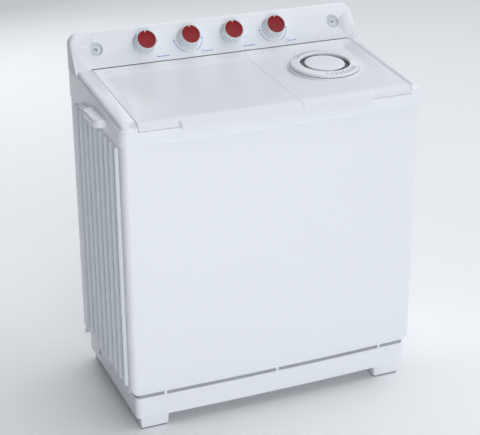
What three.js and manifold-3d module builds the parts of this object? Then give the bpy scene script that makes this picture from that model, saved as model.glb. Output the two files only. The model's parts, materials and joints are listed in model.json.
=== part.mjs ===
// Twin tub washer: a wash tub with a pulsator on the left and a spin basket on the right, in one
// plastic cabinet with two lids and a sloping control console along the back.
// Millimetres. +X is right seen from the front, +Y is to the back, +Z is up.
// The origin is on the floor under the middle of the cabinet.
import * as THREE from "three";
import { mergeVertices } from "three/addons/utils/BufferGeometryUtils.js";
import Module from "manifold-3d";

const wasm = await Module();
wasm.setup();

// ---- Driving dimensions ----

const touchGap = 0.3; // left between two pieces that touch
const wall = 3; // moulded wall thickness
const sheet = 1; // sheet steel thickness

const cabinetWidth = 860;
const cabinetDepth = 462; // at the corners, before the bow of the front
const frontBow = 8; // how far the middle of the front stands out
const cornerRadius = 20;
const footHeight = 38;
const plinthHeight = 64;
const plinthGap = 14; // shadow gap between the plinth and the panels
const panelHeight = 725;
const bandHeight = 39; // front band of the top frame
const lidFrontDrop = 22; // top of the lids above their front seam
const lidRise = 28; // how much the lids climb towards the console
const consoleHeight = 89;

const footSize = [83, 50];
const footInset = [26, 9]; // from the cabinet's sides and front
const plinthInset = [14, 6];

const frameProud = 2; // top frame stands out over the panels
const rimLeft = 46; // width of the frame's rim beside the wash lid
const rimRight = 33; // and beside the spin lid
const rimEdgeDrop = 12; // ledge line below the rim's top
const lidRollDepth = 27; // front roll of the lids, along Y
const lidRollHeight = 20;
const lidPlay = 0.8; // gap around each lid
const deckDrop = 9; // deck below the front seam
const lipDrop = 8; // finger lip below the front seam
const lipFlare = 5;
const lipEnd = 108; // from the lid pocket's ends to the finger lip

const consoleDepth = 73; // at the foot of the control face
const consoleTopDepth = 9;
const consoleCorner = 30;
const consoleSkirt = 14; // console ends reach this far below the lids
const knobPitch = 130.5;
const knobShift = -26; // middle of the knob row from the cabinet's middle
const knobAlong = 58; // up the control face
const recessInset = 68;
const knobHeight = 34;
const knobSkirtRadius = 33;
const knobCapRadius = 27;

const hingeInset = 14; // hinge axis in front of the console foot
const hingeDrop = 14; // hinge axis under the lid's top
const rodRadius = 2.5;
const rodPlay = 0.3;
const lugLength = 8;
const barrelLength = 30;

const ribPitch = 45.5;
const ribWidth = 12;
const ribRearMargin = 50; // kept clear of ribs in front of the back corner
const ribProud = 9;
const wrapLength = 3; // front panel's return along the sides, behind its corner
const handleReach = 30;
const handleLength = 118;
const handleHeight = 22;
const handleY = -50; // middle of the handles, a little in front of the cabinet's middle

const tubSideGap = 22;
const tubFrontGap = 16;
const tubCorner = 70;
const driveSpace = 229; // under the wash tub, above the foot of the panels
const pulsatorGap = 32;
const spinTubRadius = 155;
const spinTubMargin = 9.5; // spin tub to the edges of its bay
const basketGap = 26;
const spinFloorDrop = 27; // spin tub's floor below the wash tub's
const shaftRadius = 8;
const basketShaftRadius = 9;
const runningGap = 0.4; // radial clearance of what turns
const drivePulleyRadius = 96;
const motorPulleyRadius = 24;
const beltHeight = 8;
const beltThickness = 8;
const beltPlay = 0.8; // belt to the bottom of its grooves
const washMotorRadius = 56;
const spinMotorRadius = 62;
const springHeight = 50;
const springRadius = 12;
const springWire = 4;
const brakeRadius = 58;
const brakeGap = 6;
const ventRadius = 98;
const pipeRadius = 13;

// ---- Levels and places that follow from them ----

const halfWidth = cabinetWidth / 2;
const cabinetFront = -cabinetDepth / 2;
const cabinetRear = cabinetDepth / 2;
const plinthTop = footHeight + plinthHeight;
const panelBottom = plinthTop + plinthGap;
const panelTop = panelBottom + panelHeight;
const seamZ = panelTop + bandHeight;
const deckTop = seamZ - deckDrop;
const lidFrontY = cabinetFront + 26;
const lidFrontZ = seamZ + lidFrontDrop;
const lidRearZ = lidFrontZ + lidRise;
const consoleFootY = cabinetRear - consoleDepth;
const consoleTopZ = lidRearZ + consoleHeight;
const lidSlope = lidRise / (consoleFootY - lidFrontY);
const lidAngle = Math.atan(lidSlope);
const frameHalfWidth = halfWidth + frameProud;
const frameFront = cabinetFront - frameProud;
const frameRear = cabinetRear + frameProud;
const pocketLeft = -halfWidth + rimLeft;
const pocketRight = halfWidth - rimRight;
const spinBay = 2 * (spinTubRadius + spinTubMargin);
const lidSplit = pocketRight - spinBay;
const hingeY = consoleFootY - hingeInset;
const hingeZ = lidTop(hingeY) - hingeDrop;
const consoleSkirtZ = lidRearZ - consoleSkirt;
const faceRun = consoleDepth - consoleTopDepth;
const faceAngle = Math.atan2(faceRun, consoleHeight);

const washTub = {
  left: -halfWidth + tubSideGap,
  right: lidSplit - 6,
  front: cabinetFront + tubFrontGap,
  rear: consoleFootY - 13,
  floor: panelBottom + driveSpace,
  top: deckTop - wall - touchGap,
};
const pulsatorX = (washTub.left + washTub.right) / 2;
const pulsatorY = (washTub.front + washTub.rear) / 2;
const pulsatorRadius = (washTub.rear - washTub.front) / 2 - wall - pulsatorGap;
const spinX = pocketRight - spinBay / 2;
const spinY = (cabinetFront + consoleFootY) / 2;
const spinFloor = washTub.floor - spinFloorDrop;
const washMotorX = washTub.left + washMotorRadius + 14;
const washMotorY = washTub.rear - washMotorRadius - 14;
const plinthFloor = footHeight + 15;

// Height of the lids' top surface at a depth.
function lidTop(y) {
  return lidFrontZ + (y - lidFrontY) * lidSlope;
}

// Depth of the control face at a height.
function faceY(z) {
  return consoleFootY + ((z - lidRearZ) * faceRun) / consoleHeight;
}

// Depth of the bowed front at a place across the width.
function bowedFront(x, front, half) {
  return front - frontBow * (1 - (x / half) ** 2);
}

// ---- Finishes ----

function finish(color, roughness, metalness = 0) {
  return new THREE.MeshStandardMaterial({ color, roughness, metalness });
}

const white = finish(0xe6ecf2, 0.32);
const sideWhite = finish(0xdfe5ec, 0.42);
const lidWhite = finish(0xdfe3e8, 0.22);
const tubWhite = finish(0xeef1f3, 0.45);
const silver = finish(0xc9ced4, 0.3, 0.2);
const steel = finish(0xb9bdc2, 0.35, 1);
const zinc = finish(0xa9aeb3, 0.5, 1);
const iron = finish(0x4c5054, 0.6, 0.8);
const castAluminium = finish(0xb0b3b6, 0.5, 1);
const rubber = finish(0x202122, 0.85);
const darkPlastic = finish(0x33363a, 0.6);
const greyPlastic = finish(0x9aa1a8, 0.5);
const bluePlastic = finish(0x7fa6c8, 0.4);

// ---- Solids ----

// A closed three.js geometry as a solid, turned right side out.
function toSolid(geometry) {
  const bare = geometry.index ? geometry.toNonIndexed() : geometry.clone();
  bare.deleteAttribute("normal");
  bare.deleteAttribute("uv");
  const merged = mergeVertices(bare, 1e-4);
  const corners = merged.index.array;
  const kept = [];
  for (let i = 0; i < corners.length; i += 3) {
    const [a, b, c] = [corners[i], corners[i + 1], corners[i + 2]];
    if (a !== b && b !== c && c !== a) kept.push(a, b, c);
  }
  const make = (triangles) =>
    new wasm.Manifold(
      new wasm.Mesh({
        numProp: 3,
        vertProperties: merged.attributes.position.array,
        triVerts: new Uint32Array(triangles),
      }),
    );
  const solid = make(kept);
  return solid.volume() < 0 ? make(kept.reverse()) : solid;
}

function toGeometry(solid) {
  const mesh = solid.getMesh();
  const geometry = new THREE.BufferGeometry();
  geometry.setAttribute("position", new THREE.BufferAttribute(mesh.vertProperties, 3));
  geometry.setIndex(new THREE.BufferAttribute(mesh.triVerts, 1));
  geometry.computeVertexNormals();
  return geometry;
}

function join(...parts) {
  return toGeometry(parts.map(toSolid).reduce((whole, part) => whole.add(part)));
}

function cut(body, ...tools) {
  return toGeometry(tools.map(toSolid).reduce((left, tool) => left.subtract(tool), toSolid(body)));
}

function meet(a, b) {
  return toGeometry(toSolid(a).intersect(toSolid(b)));
}

// A block between two corners.
function block(x0, x1, y0, y1, z0, z1) {
  const box = new THREE.BoxGeometry(x1 - x0, y1 - y0, z1 - z0);
  return box.translate((x0 + x1) / 2, (y0 + y1) / 2, (z0 + z1) / 2);
}

// A shape in the floor plane, raised from z0 to z1.
function prism(shape, z0, z1, curveSegments = 8) {
  const options = { depth: z1 - z0, bevelEnabled: false, curveSegments };
  return new THREE.ExtrudeGeometry(shape, options).translate(0, 0, z0);
}

// A side outline of (depth, height) points, run across the width from x0 to x1.
function acrossX(shape, x0, x1, curveSegments = 6) {
  const options = { depth: x1 - x0, bevelEnabled: false, curveSegments };
  const axes = new THREE.Matrix4().makeBasis(
    new THREE.Vector3(0, 1, 0),
    new THREE.Vector3(0, 0, 1),
    new THREE.Vector3(1, 0, 0),
  );
  return new THREE.ExtrudeGeometry(shape, options).applyMatrix4(axes).translate(x0, 0, 0);
}

// A front outline of (across, height) points, run back from y0 to y1.
function alongY(shape, y0, y1, curveSegments = 6) {
  const options = { depth: y1 - y0, bevelEnabled: false, curveSegments };
  const geometry = new THREE.ExtrudeGeometry(shape, options);
  return geometry.rotateX(Math.PI / 2).translate(0, y1, 0);
}

// An outline of (radius, height) points turned about the vertical axis.
function turned(points, segments = 24) {
  const profile = points.map(([r, z]) => new THREE.Vector2(r, z));
  return new THREE.LatheGeometry(profile, segments).rotateX(Math.PI / 2);
}

// A ring-shaped outline closes on itself.
function turnedRing(points, segments = 24) {
  return turned([...points, points[0]], segments);
}

function rod(radius, z0, z1, segments = 16) {
  const points = [
    [0, z0],
    [radius, z0],
    [radius, z1],
    [0, z1],
  ];
  return turned(points, segments);
}

function tube(outer, inner, z0, z1, segments = 20) {
  const points = [
    [inner, z0],
    [outer, z0],
    [outer, z1],
    [inner, z1],
  ];
  return turnedRing(points, segments);
}

// A rod or tube laid along X at a depth and height.
function rodAlongX(radius, x0, x1, y, z, segments = 12) {
  return rod(radius, 0, x1 - x0, segments).rotateY(Math.PI / 2).translate(x0, y, z);
}

function polygon(points) {
  return new THREE.Shape(points.map(([u, v]) => new THREE.Vector2(u, v)));
}

// Points of a circular arc, ends included. Angles in degrees.
function arc(u, v, radius, from, to, steps = 6) {
  const points = [];
  for (let i = 0; i <= steps; i += 1) {
    const angle = THREE.MathUtils.degToRad(from + ((to - from) * i) / steps);
    points.push([u + radius * Math.cos(angle), v + radius * Math.sin(angle)]);
  }
  return points;
}

function roundedRect(x0, x1, y0, y1, radius, steps = 5) {
  return polygon([
    ...arc(x0 + radius, y0 + radius, radius, 180, 270, steps),
    ...arc(x1 - radius, y0 + radius, radius, 270, 360, steps),
    ...arc(x1 - radius, y1 - radius, radius, 0, 90, steps),
    ...arc(x0 + radius, y1 - radius, radius, 90, 180, steps),
  ]);
}

// The cabinet's outline from above: straight sides and back, bowed front, rounded corners.
function planOutline(half, front, rear, radius, rearRadius = 5) {
  const steps = 12;
  const inner = half - radius;
  const shoulder = bowedFront(inner, front, half);
  const bow = [];
  for (let i = 1; i < steps; i += 1) {
    const x = -inner + (2 * inner * i) / steps;
    bow.push([x, bowedFront(x, front, half)]);
  }
  return polygon([
    ...arc(-inner, shoulder + radius, radius, 180, 270, 5),
    ...bow,
    ...arc(inner, shoulder + radius, radius, 270, 360, 5),
    ...arc(half - rearRadius, rear - rearRadius, rearRadius, 0, 90, 2),
    ...arc(-half + rearRadius, rear - rearRadius, rearRadius, 90, 180, 2),
  ]);
}

// A shell between two grids of points of the same size: outer[row][column], inner[row][column].
function shellBetween(outer, inner) {
  const rows = outer.length;
  const columns = outer[0].length;
  const positions = [...outer.flat(), ...inner.flat()].flat();
  const at = (side, r, c) => side * rows * columns + r * columns + c;
  const faces = [];
  const quad = (a, b, c, d) => faces.push(a, b, c, a, c, d);
  for (let r = 0; r + 1 < rows; r += 1) {
    for (let c = 0; c + 1 < columns; c += 1) {
      quad(at(0, r, c), at(0, r + 1, c), at(0, r + 1, c + 1), at(0, r, c + 1));
      quad(at(1, r, c), at(1, r, c + 1), at(1, r + 1, c + 1), at(1, r + 1, c));
    }
    quad(at(0, r, 0), at(1, r, 0), at(1, r + 1, 0), at(0, r + 1, 0));
    const last = columns - 1;
    quad(at(0, r, last), at(0, r + 1, last), at(1, r + 1, last), at(1, r, last));
  }
  for (let c = 0; c + 1 < columns; c += 1) {
    const last = rows - 1;
    quad(at(0, 0, c), at(0, 0, c + 1), at(1, 0, c + 1), at(1, 0, c));
    quad(at(0, last, c), at(1, last, c), at(1, last, c + 1), at(0, last, c + 1));
  }
  const geometry = new THREE.BufferGeometry();
  geometry.setAttribute("position", new THREE.Float32BufferAttribute(positions, 3));
  geometry.setIndex(faces);
  return geometry;
}

// ---- The assembly ----

const washer = new THREE.Group();

function add(name, geometry, material, parent = washer) {
  const mesh = new THREE.Mesh(geometry, material);
  mesh.name = name;
  parent.add(mesh);
  return mesh;
}

// ---- Base ----

function basePlinth() {
  const [insetX, insetY] = plinthInset;
  const half = halfWidth - insetX;
  const front = cabinetFront + insetY;
  const rear = cabinetRear - insetX;
  const radius = cornerRadius - 4;
  const outer = prism(planOutline(half, front, rear, radius), footHeight, plinthTop);
  const hollow = (z0, z1, inset) =>
    prism(planOutline(half - inset, front + inset, rear - inset, radius - wall), z0, z1);
  const upstand = 16; // how far inside the plinth's face its upstand is
  const collarTop = panelBottom + 20;
  const collar = (inset, z0, z1) =>
    prism(planOutline(half - inset, front + inset, rear - inset, 8), z0, z1);
  const ribs = [-0.77, 0.01, 0.77].map((share) => {
    const x = share * halfWidth;
    const face = bowedFront(x, front, half);
    return block(x - 5, x + 5, face + 1, face + upstand + 1, plinthTop - 1, panelBottom - touchGap);
  });
  const vent = prism(roundedRect(washTub.left + 110, washTub.right - 40, -110, 60, 30), 0, plinthTop);
  const body = cut(
    join(outer, collar(upstand, plinthTop - wall, collarTop), ...ribs),
    hollow(footHeight - 1, plinthFloor - wall, wall),
    hollow(plinthFloor, plinthTop - wall, wall),
    collar(upstand + wall, plinthTop - wall - 1, collarTop + 1),
    vent,
  );
  const x = -half;
  return cut(body, acrossX(hoseNotchOutline(0), x - 5, x + 10));
}

// The slot in the plinth's left side that the drain outlet sits in.
const hoseNotchY = 115;
function hoseNotchOutline(play) {
  return roundedRect(
    hoseNotchY - 20 + play,
    hoseNotchY + 20 - play,
    plinthFloor + 4 + play,
    plinthFloor + 40 - play,
    10 - play,
  );
}

function foot() {
  const [width, depth] = footSize;
  const outline = roundedRect(-width / 2, width / 2, -depth / 2, depth / 2, 5, 3);
  const height = footHeight - touchGap;
  return prism(outline, 0, height);
}

function addBase() {
  add("base_plinth", basePlinth(), white);
  const [width, depth] = footSize;
  const x = halfWidth - footInset[0] - width / 2;
  const y = cabinetFront + footInset[1] + depth / 2;
  const places = { front_left: [-x, y], front_right: [x, y], rear_left: [-x, -y], rear_right: [x, -y] };
  for (const [place, [footX, footY]] of Object.entries(places)) {
    add(`foot_${place}`, foot(), white).position.set(footX, footY, 0);
  }
}

// ---- Cabinet panels ----

const wrapEnd = cabinetFront + cornerRadius + wrapLength;
const panelTopClear = panelTop - touchGap;

function frontPanel() {
  const skin = (inset) =>
    planOutline(halfWidth - inset, cabinetFront + inset, cabinetRear, cornerRadius - inset);
  return cut(
    prism(skin(0), panelBottom, panelTopClear),
    prism(skin(wall), panelBottom - 1, panelTop + 1),
    block(-halfWidth - 1, halfWidth + 1, wrapEnd, cabinetRear + 1, panelBottom - 1, panelTop + 1),
  );
}

function sidePanel() {
  const front = wrapEnd + touchGap;
  const rear = cabinetRear;
  const plate = block(-halfWidth, -halfWidth + wall, front, rear, panelBottom, panelTopClear);
  const returnLip = block(-halfWidth, -halfWidth + 20, rear - wall, rear, panelBottom, panelTopClear);
  const ribTop = panelTop - 4;
  const ribBottom = panelBottom + 18;
  const ribs = [];
  for (let y = wrapEnd + ribWidth; y < rear - ribRearMargin; y += ribPitch) {
    const section = polygon([
      [-halfWidth + 1, y - ribWidth / 2],
      [-halfWidth + 1, y + ribWidth / 2],
      [-halfWidth - ribProud * 0.6, y + ribWidth * 0.4],
      [-halfWidth - ribProud, y + ribWidth * 0.15],
      [-halfWidth - ribProud, y - ribWidth * 0.15],
      [-halfWidth - ribProud * 0.6, y - ribWidth * 0.4],
    ]);
    ribs.push(prism(section, ribBottom, ribTop));
  }
  return join(plate, returnLip, ...ribs);
}

const coverReach = frontBow + frameProud + lipFlare; // as far back as the front stands forward

function addCabinet() {
  add("front_panel", frontPanel(), white);
  const left = sidePanel();
  add("side_panel_left", left, sideWhite);
  add("side_panel_right", toGeometry(toSolid(left.clone().scale(-1, 1, 1))), sideWhite);
  const edge = halfWidth - 20 - touchGap;
  const coverWidth = cabinetWidth * 0.62;
  const coverLow = panelBottom + 40;
  const coverHigh = panelTop - 200;
  const back = cut(
    block(-edge, edge, cabinetRear - 2, cabinetRear, panelBottom, panelTopClear),
    block(-coverWidth / 2 + 15, coverWidth / 2 - 15, 0, cabinetRear + 1, coverLow + 15, coverHigh - 15),
  );
  add("rear_panel", back, sideWhite);
  const flange = block(
    -coverWidth / 2,
    coverWidth / 2,
    cabinetRear + touchGap,
    cabinetRear + touchGap + sheet,
    coverLow,
    coverHigh,
  );
  const pan = (inset, y0, y1) =>
    alongY(
      roundedRect(
        -coverWidth / 2 + 18 + inset,
        coverWidth / 2 - 18 - inset,
        coverLow + 18 + inset,
        coverHigh - 18 - inset,
        20 - inset,
        3,
      ),
      y0,
      y1,
    );
  const slots = [];
  for (let i = 0; i < 6; i += 1) {
    const z = coverLow + 60 + i * 16;
    slots.push(block(-90, 90, cabinetRear, cabinetRear + coverReach + 1, z, z + 6));
  }
  const rear = cabinetRear + coverReach;
  const cover = cut(
    join(flange, pan(0, cabinetRear + touchGap, rear)),
    pan(sheet, cabinetRear - 1, rear - sheet),
    ...slots,
  );
  add("service_cover", cover, zinc);
}

// ---- Top frame ----

// Side outline of the frame's end rims: front roll, sloping top, upright back.
function rimProfile(drop, front, rear) {
  const roll = [];
  for (let i = 0; i <= 5; i += 1) {
    const angle = ((i / 5) * Math.PI) / 2;
    const y = front + lidRollDepth * (1 - Math.cos(angle));
    const top = lidTop(front + lidRollDepth) - drop;
    roll.push([y, top - lidRollHeight * (1 - Math.sin(angle))]);
  }
  const back = [
    [rear, lidTop(rear) - drop],
    [rear, panelTop - 1],
  ];
  return polygon([[front, panelTop - 1], ...roll, ...back].reverse());
}

// Everything outside the rounded edge that runs along an end rim, above its ledge line.
function rimEdgeCutter() {
  const inset = 3;
  const edge = frameHalfWidth - inset;
  const radius = rimEdgeDrop;
  const outline = polygon([
    ...arc(edge - radius, -radius, radius, 0, 90, 4),
    [edge - radius, radius * 2],
    [edge + radius, radius * 2],
    [edge + radius, -radius],
  ]);
  const length = cabinetDepth * 1.5;
  return alongY(outline, -length / 2, length / 2).rotateX(lidAngle).translate(0, 0, lidTop(0));
}

function topFrame() {
  const outline = (inset) =>
    planOutline(
      frameHalfWidth - inset,
      frameFront + inset,
      frameRear - inset,
      cornerRadius + frameProud - inset,
    );
  const high = consoleTopZ;
  const outer = meet(
    prism(outline(0), panelTop, high),
    acrossX(rimProfile(0, frameFront - 1, frameRear + 1), -frameHalfWidth - 1, frameHalfWidth + 1),
  );
  const bowStrip = prism(outline(0), panelTop, seamZ);
  const inner = meet(
    prism(outline(wall), panelTop - 1, high),
    acrossX(rimProfile(wall, frameFront, frameRear), -frameHalfWidth, frameHalfWidth),
  );
  const underConsole = acrossX(
    polygon([
      [faceY(consoleSkirtZ - touchGap) - touchGap * 2, consoleSkirtZ - touchGap],
      [frameRear + 2, consoleSkirtZ - touchGap],
      [frameRear + 2, consoleTopZ],
      [faceY(consoleTopZ) - touchGap * 2, consoleTopZ],
    ]),
    -frameHalfWidth - 2,
    frameHalfWidth + 2,
  );
  const pocket = block(pocketLeft, pocketRight, cabinetFront - 40, frameRear - wall, seamZ, high);
  const sideWalls = [pocketLeft - wall, pocketRight].map((x) =>
    meet(
      block(x, x + wall, frameFront + 4, frameRear - 1, deckTop - 1, high),
      acrossX(rimProfile(1, frameFront, frameRear), x - 1, x + wall + 1),
    ),
  );
  const deck = prism(outline(1), deckTop - wall, deckTop);
  const shell = cut(join(outer, bowStrip), inner);
  const rightCut = rimEdgeCutter();
  const leftCut = rimEdgeCutter().scale(-1, 1, 1);
  const opened = cut(join(shell, deck, ...sideWalls), pocket, underConsole, rightCut, leftCut);
  const { left, right, front, rear } = washOpening;
  const open = [
    prism(roundedRect(left, right, front, rear, washOpening.corner), 0, high),
    rod(spinOpeningRadius, 0, high, 32).translate(spinX, spinY, 0),
    block(pocketLeft + 4, pocketRight - 4, consoleFootY + 6, frameRear - 12, 0, high),
  ];
  return cut(join(cut(opened, ...open), ...hingeLugs()), ...rodHoles());
}

const washOpening = {
  left: washTub.left + 48,
  right: washTub.right - 22,
  front: washTub.front + 14,
  rear: washTub.rear - 40,
  corner: 45,
};
const spinOpeningRadius = spinTubRadius - 35;

const rodSpans = [
  [pocketLeft + 12, lidSplit - 12],
  [lidSplit + 12, pocketRight - 12],
];

// Ears on the deck that carry the ends of the two hinge rods.
function hingeLugs() {
  return rodSpans.flatMap(([left, right]) =>
    [left, right - lugLength].map((x) => {
      const outline = polygon([
        [hingeY - 9, deckTop - 1],
        [hingeY + 9, deckTop - 1],
        ...arc(hingeY, hingeZ, 7, 0, 180, 6),
      ]);
      return acrossX(outline, x, x + lugLength);
    }),
  );
}

function rodHoles() {
  return rodSpans.map(([left, right]) =>
    rodAlongX(rodRadius + touchGap, left - 1, right + 1, hingeY, hingeZ),
  );
}

// Pull handle on the side: a ledge with a turned-down lip, open underneath for the fingers.
function handle() {
  const outer = -frameHalfWidth - touchGap - handleReach;
  const root = -frameHalfWidth - touchGap;
  const top = panelTop + 39;
  const low = top - handleHeight;
  const section = polygon([
    [root, top],
    [root, top - 5],
    [outer + 8, top - 5],
    [outer + 5, low],
    [outer, low],
    [outer + 1, top - 8],
    [outer + 8, top],
  ]);
  const front = handleY - handleLength / 2;
  const bar = alongY(section, front, front + handleLength);
  const ends = [front, front + handleLength - 4].map((y) =>
    block(outer + 6, root, y, y + 4, low + 8, top - 2),
  );
  return join(bar, ...ends);
}

function addTopFrame() {
  add("top_frame", topFrame(), white);
  add("handle_left", handle(), white);
  add("handle_right", toGeometry(toSolid(handle().scale(-1, 1, 1))), white);
  const hookX = -frameHalfWidth - touchGap;
  const hookZ = panelTop + 8;
  const hook = join(
    block(hookX - 4, hookX, -18, 18, hookZ, hookZ + 16),
    block(hookX - 14, hookX, -18, -5, hookZ + 2, hookZ + 14),
    block(hookX - 14, hookX, 5, 18, hookZ + 2, hookZ + 14),
  );
  add("hose_hook", hook, white).position.y = handleY + handleLength / 2 + 71;
  for (const [name, [left, right]] of Object.entries({ wash: rodSpans[0], spin: rodSpans[1] })) {
    add(`hinge_rod_${name}`, rodAlongX(rodRadius, left, right, hingeY, hingeZ), steel);
  }
}

// ---- Lids ----

// Left edge, right edge and the outer end of the finger lip of a lid.
function lid(x0, x1, lipX0, lipX1) {
  const rearY = consoleFootY - 1.5;
  const ramp = 7;
  const ends = [lipX0, lipX1].filter((x) => x > x0 + 1 && x < x1 - 1);
  const inward = (x) => (x === lipX0 ? 1 : -1);
  const around = ends.flatMap((x) => [x - 4 * inward(x), x, x + ramp * inward(x)]);
  const fixed = [x0, x1, ...around];
  const even = [1, 2, 3, 4, 5, 6, 7].map((i) => x0 + ((x1 - x0) * i) / 8);
  const free = even.filter((x) => fixed.every((other) => Math.abs(x - other) > ramp));
  const columns = [...fixed, ...free].sort((a, b) => a - b);
  const inside = (x, margin) => x > lipX0 + margin - 0.1 && x < lipX1 - margin + 0.1;
  const flareAt = (x) => (inside(x, 0) ? lipFlare : 0);
  const surface = (inset) => {
    const rows = [];
    for (const share of [0, 0.03, 0.35, 0.7, 1]) {
      rows.push(
        columns.map((x) => {
          const front = bowedFront(x, frameFront, frameHalfWidth) + lidRollDepth;
          const y = rearY + (front - rearY) * share;
          return [x, y, lidTop(y) - inset];
        }),
      );
    }
    for (let i = 1; i <= 4; i += 1) {
      const angle = ((i / 4) * Math.PI) / 2;
      rows.push(
        columns.map((x) => {
          const front = bowedFront(x, frameFront, frameHalfWidth);
          const flare = flareAt(x) * Math.sin(angle) ** 4;
          const y = front + lidRollDepth - (lidRollDepth - inset) * Math.sin(angle) - flare;
          const top = lidTop(front + lidRollDepth);
          return [x, y, top - lidRollHeight + (lidRollHeight - inset) * Math.cos(angle)];
        }),
      );
    }
    rows.push(
      columns.map((x) => {
        const y = bowedFront(x, frameFront, frameHalfWidth) + inset - flareAt(x);
        return [x, y, inside(x, ramp) ? seamZ - lipDrop : seamZ + 0.6];
      }),
    );
    return rows;
  };
  return shellBetween(surface(0), surface(wall));
}

// Stiffening rib under a lid, along one of its side edges.
function lidRib(x) {
  const drop = 12;
  const front = Math.max(
    bowedFront(x, frameFront, frameHalfWidth),
    bowedFront(x + 2.5, frameFront, frameHalfWidth),
  );
  const y0 = front + lidRollDepth;
  const y1 = consoleFootY - 4;
  const outline = polygon([
    [y1, lidTop(y1) - wall + 1],
    [y0, lidTop(y0) - wall + 1],
    [y0, lidTop(y0) - wall - drop],
    [y1 - 30, lidTop(y1 - 30) - wall - drop],
    [y1 - 26, lidTop(y1) - wall - 3],
    [y1, lidTop(y1) - wall - 3],
  ]);
  return acrossX(outline, x, x + 2.5);
}

// Barrels under the back edge of a lid, around its hinge rod.
function barrels(left, right) {
  return [left + lugLength + 1, right - lugLength - 1 - barrelLength].map((x) =>
    join(
      rodAlongX(7, x, x + barrelLength, hingeY, hingeZ),
      block(x, x + barrelLength, hingeY - 5, hingeY + 5, hingeZ, lidTop(hingeY) - wall + 0.6),
    ),
  );
}

function hingedLid(x0, x1, lipX0, lipX1, span) {
  const body = join(lid(x0, x1, lipX0, lipX1), lidRib(x0), lidRib(x1 - 2.5), ...barrels(...span));
  return cut(body, rodAlongX(rodRadius + rodPlay, span[0] - 1, span[1] + 1, hingeY, hingeZ));
}

const ventX = spinX + 6;
const ventY = spinY + 21;

// Carries what lies in the sloping plane of the spin lid; its origin is the vent's centre.
function ventGroup() {
  const group = new THREE.Group();
  group.position.set(ventX, ventY, lidTop(ventY));
  group.rotation.x = lidAngle;
  return group;
}

const ventNeckRadius = 50;
const ventHoleRadius = 82;

// Fixed grille under the dial: a flanged ring, spokes and a raised middle disc.
function ventGrille() {
  const ring = tube(ventHoleRadius - touchGap, ventHoleRadius - 6, -9, 1, 28);
  const disc = turned(
    [
      [0, -9],
      [ventNeckRadius - 4, -9],
      [ventNeckRadius, -6],
      [57, 5],
      [55, 8],
      [0, 9],
    ],
    28,
  );
  const spokes = [];
  for (let i = 0; i < 8; i += 1) {
    const spoke = block(ventNeckRadius - 8, ventHoleRadius - 3, -3, 3, -8, -4);
    spokes.push(spoke.rotateZ((i * Math.PI) / 4));
  }
  return join(ring, disc, ...spokes);
}

// Turning ring with finger fins at its front and back.
function ventDial() {
  const ring = turnedRing(
    [
      [70, 2.5],
      [ventRadius, touchGap],
      [ventRadius, 4],
      [ventRadius - 4, 8],
      [74, 10],
      [70, 8],
    ],
    32,
  );
  const fins = [];
  for (let i = 0; i < 6; i += 1) {
    const angle = THREE.MathUtils.degToRad(-28 + i * 11);
    for (const side of [0, Math.PI]) {
      fins.push(block(75, ventRadius - 4, -1, 1, 6, 11).rotateZ(angle - Math.PI / 2 + side));
    }
  }
  return join(ring, ...fins);
}

function addLids() {
  const lipX0 = pocketLeft + lipEnd;
  const lipX1 = pocketRight - lipEnd - 13;
  const wash = hingedLid(pocketLeft + lidPlay, lidSplit - lidPlay / 2, lipX0, lipX1, rodSpans[0]);
  add("wash_lid", wash, lidWhite);
  const spin = hingedLid(lidSplit + lidPlay / 2, pocketRight - lidPlay, lipX0, lipX1, rodSpans[1]);
  const vent = ventGroup();
  vent.updateMatrix();
  const hole = rod(ventHoleRadius, -20, 20, 28).applyMatrix4(vent.matrix);
  add("spin_lid", cut(spin, hole), lidWhite);
  add("vent_grille", ventGrille(), lidWhite, vent);
  add("vent_dial", ventDial(), lidWhite, vent);
  washer.add(vent);
}

// ---- Console ----

// Side outline of the console, set in by a wall's thickness or not.
function consoleProfile(inset) {
  const rear = frameRear - inset;
  const low = consoleSkirtZ - (inset ? 1 : 0);
  const back = inset ? frameRear + 1 : rear;
  const shift = inset / Math.cos(faceAngle);
  const top = consoleTopZ - inset;
  return polygon([
    [faceY(low) + shift, low],
    [back, low],
    [back, top - (inset ? 0 : 6)],
    [back - (inset ? 0 : 3), top],
    [faceY(top - 3) + shift + 5, top],
    [faceY(top - 4) + shift, top - 4],
  ]);
}

function consoleEnds(inset) {
  const half = frameHalfWidth - inset;
  const radius = consoleCorner - inset;
  const top = consoleTopZ - inset;
  return polygon([
    [-half, consoleSkirtZ - 1],
    [half, consoleSkirtZ - 1],
    ...arc(half - radius, top - radius, radius, 0, 90, 6),
    ...arc(-half + radius, top - radius, radius, 90, 180, 6),
  ]);
}

// Frame of the control face: X across, Y up the face, Z out of it; origin at the middle of its foot.
function faceGroup() {
  const group = new THREE.Group();
  group.position.set(0, consoleFootY, lidRearZ);
  group.rotation.x = Math.PI / 2 - faceAngle;
  return group;
}

const knobNames = ["wash_selector", "wash_timer", "drain_selector", "spin_timer"];
const knobX = knobNames.map((_, i) => knobShift + (i - 1.5) * knobPitch);
const recessX = [-halfWidth + recessInset, halfWidth - recessInset];
const knobShaftRadius = 4;
const knobHoleRadius = 6;

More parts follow.
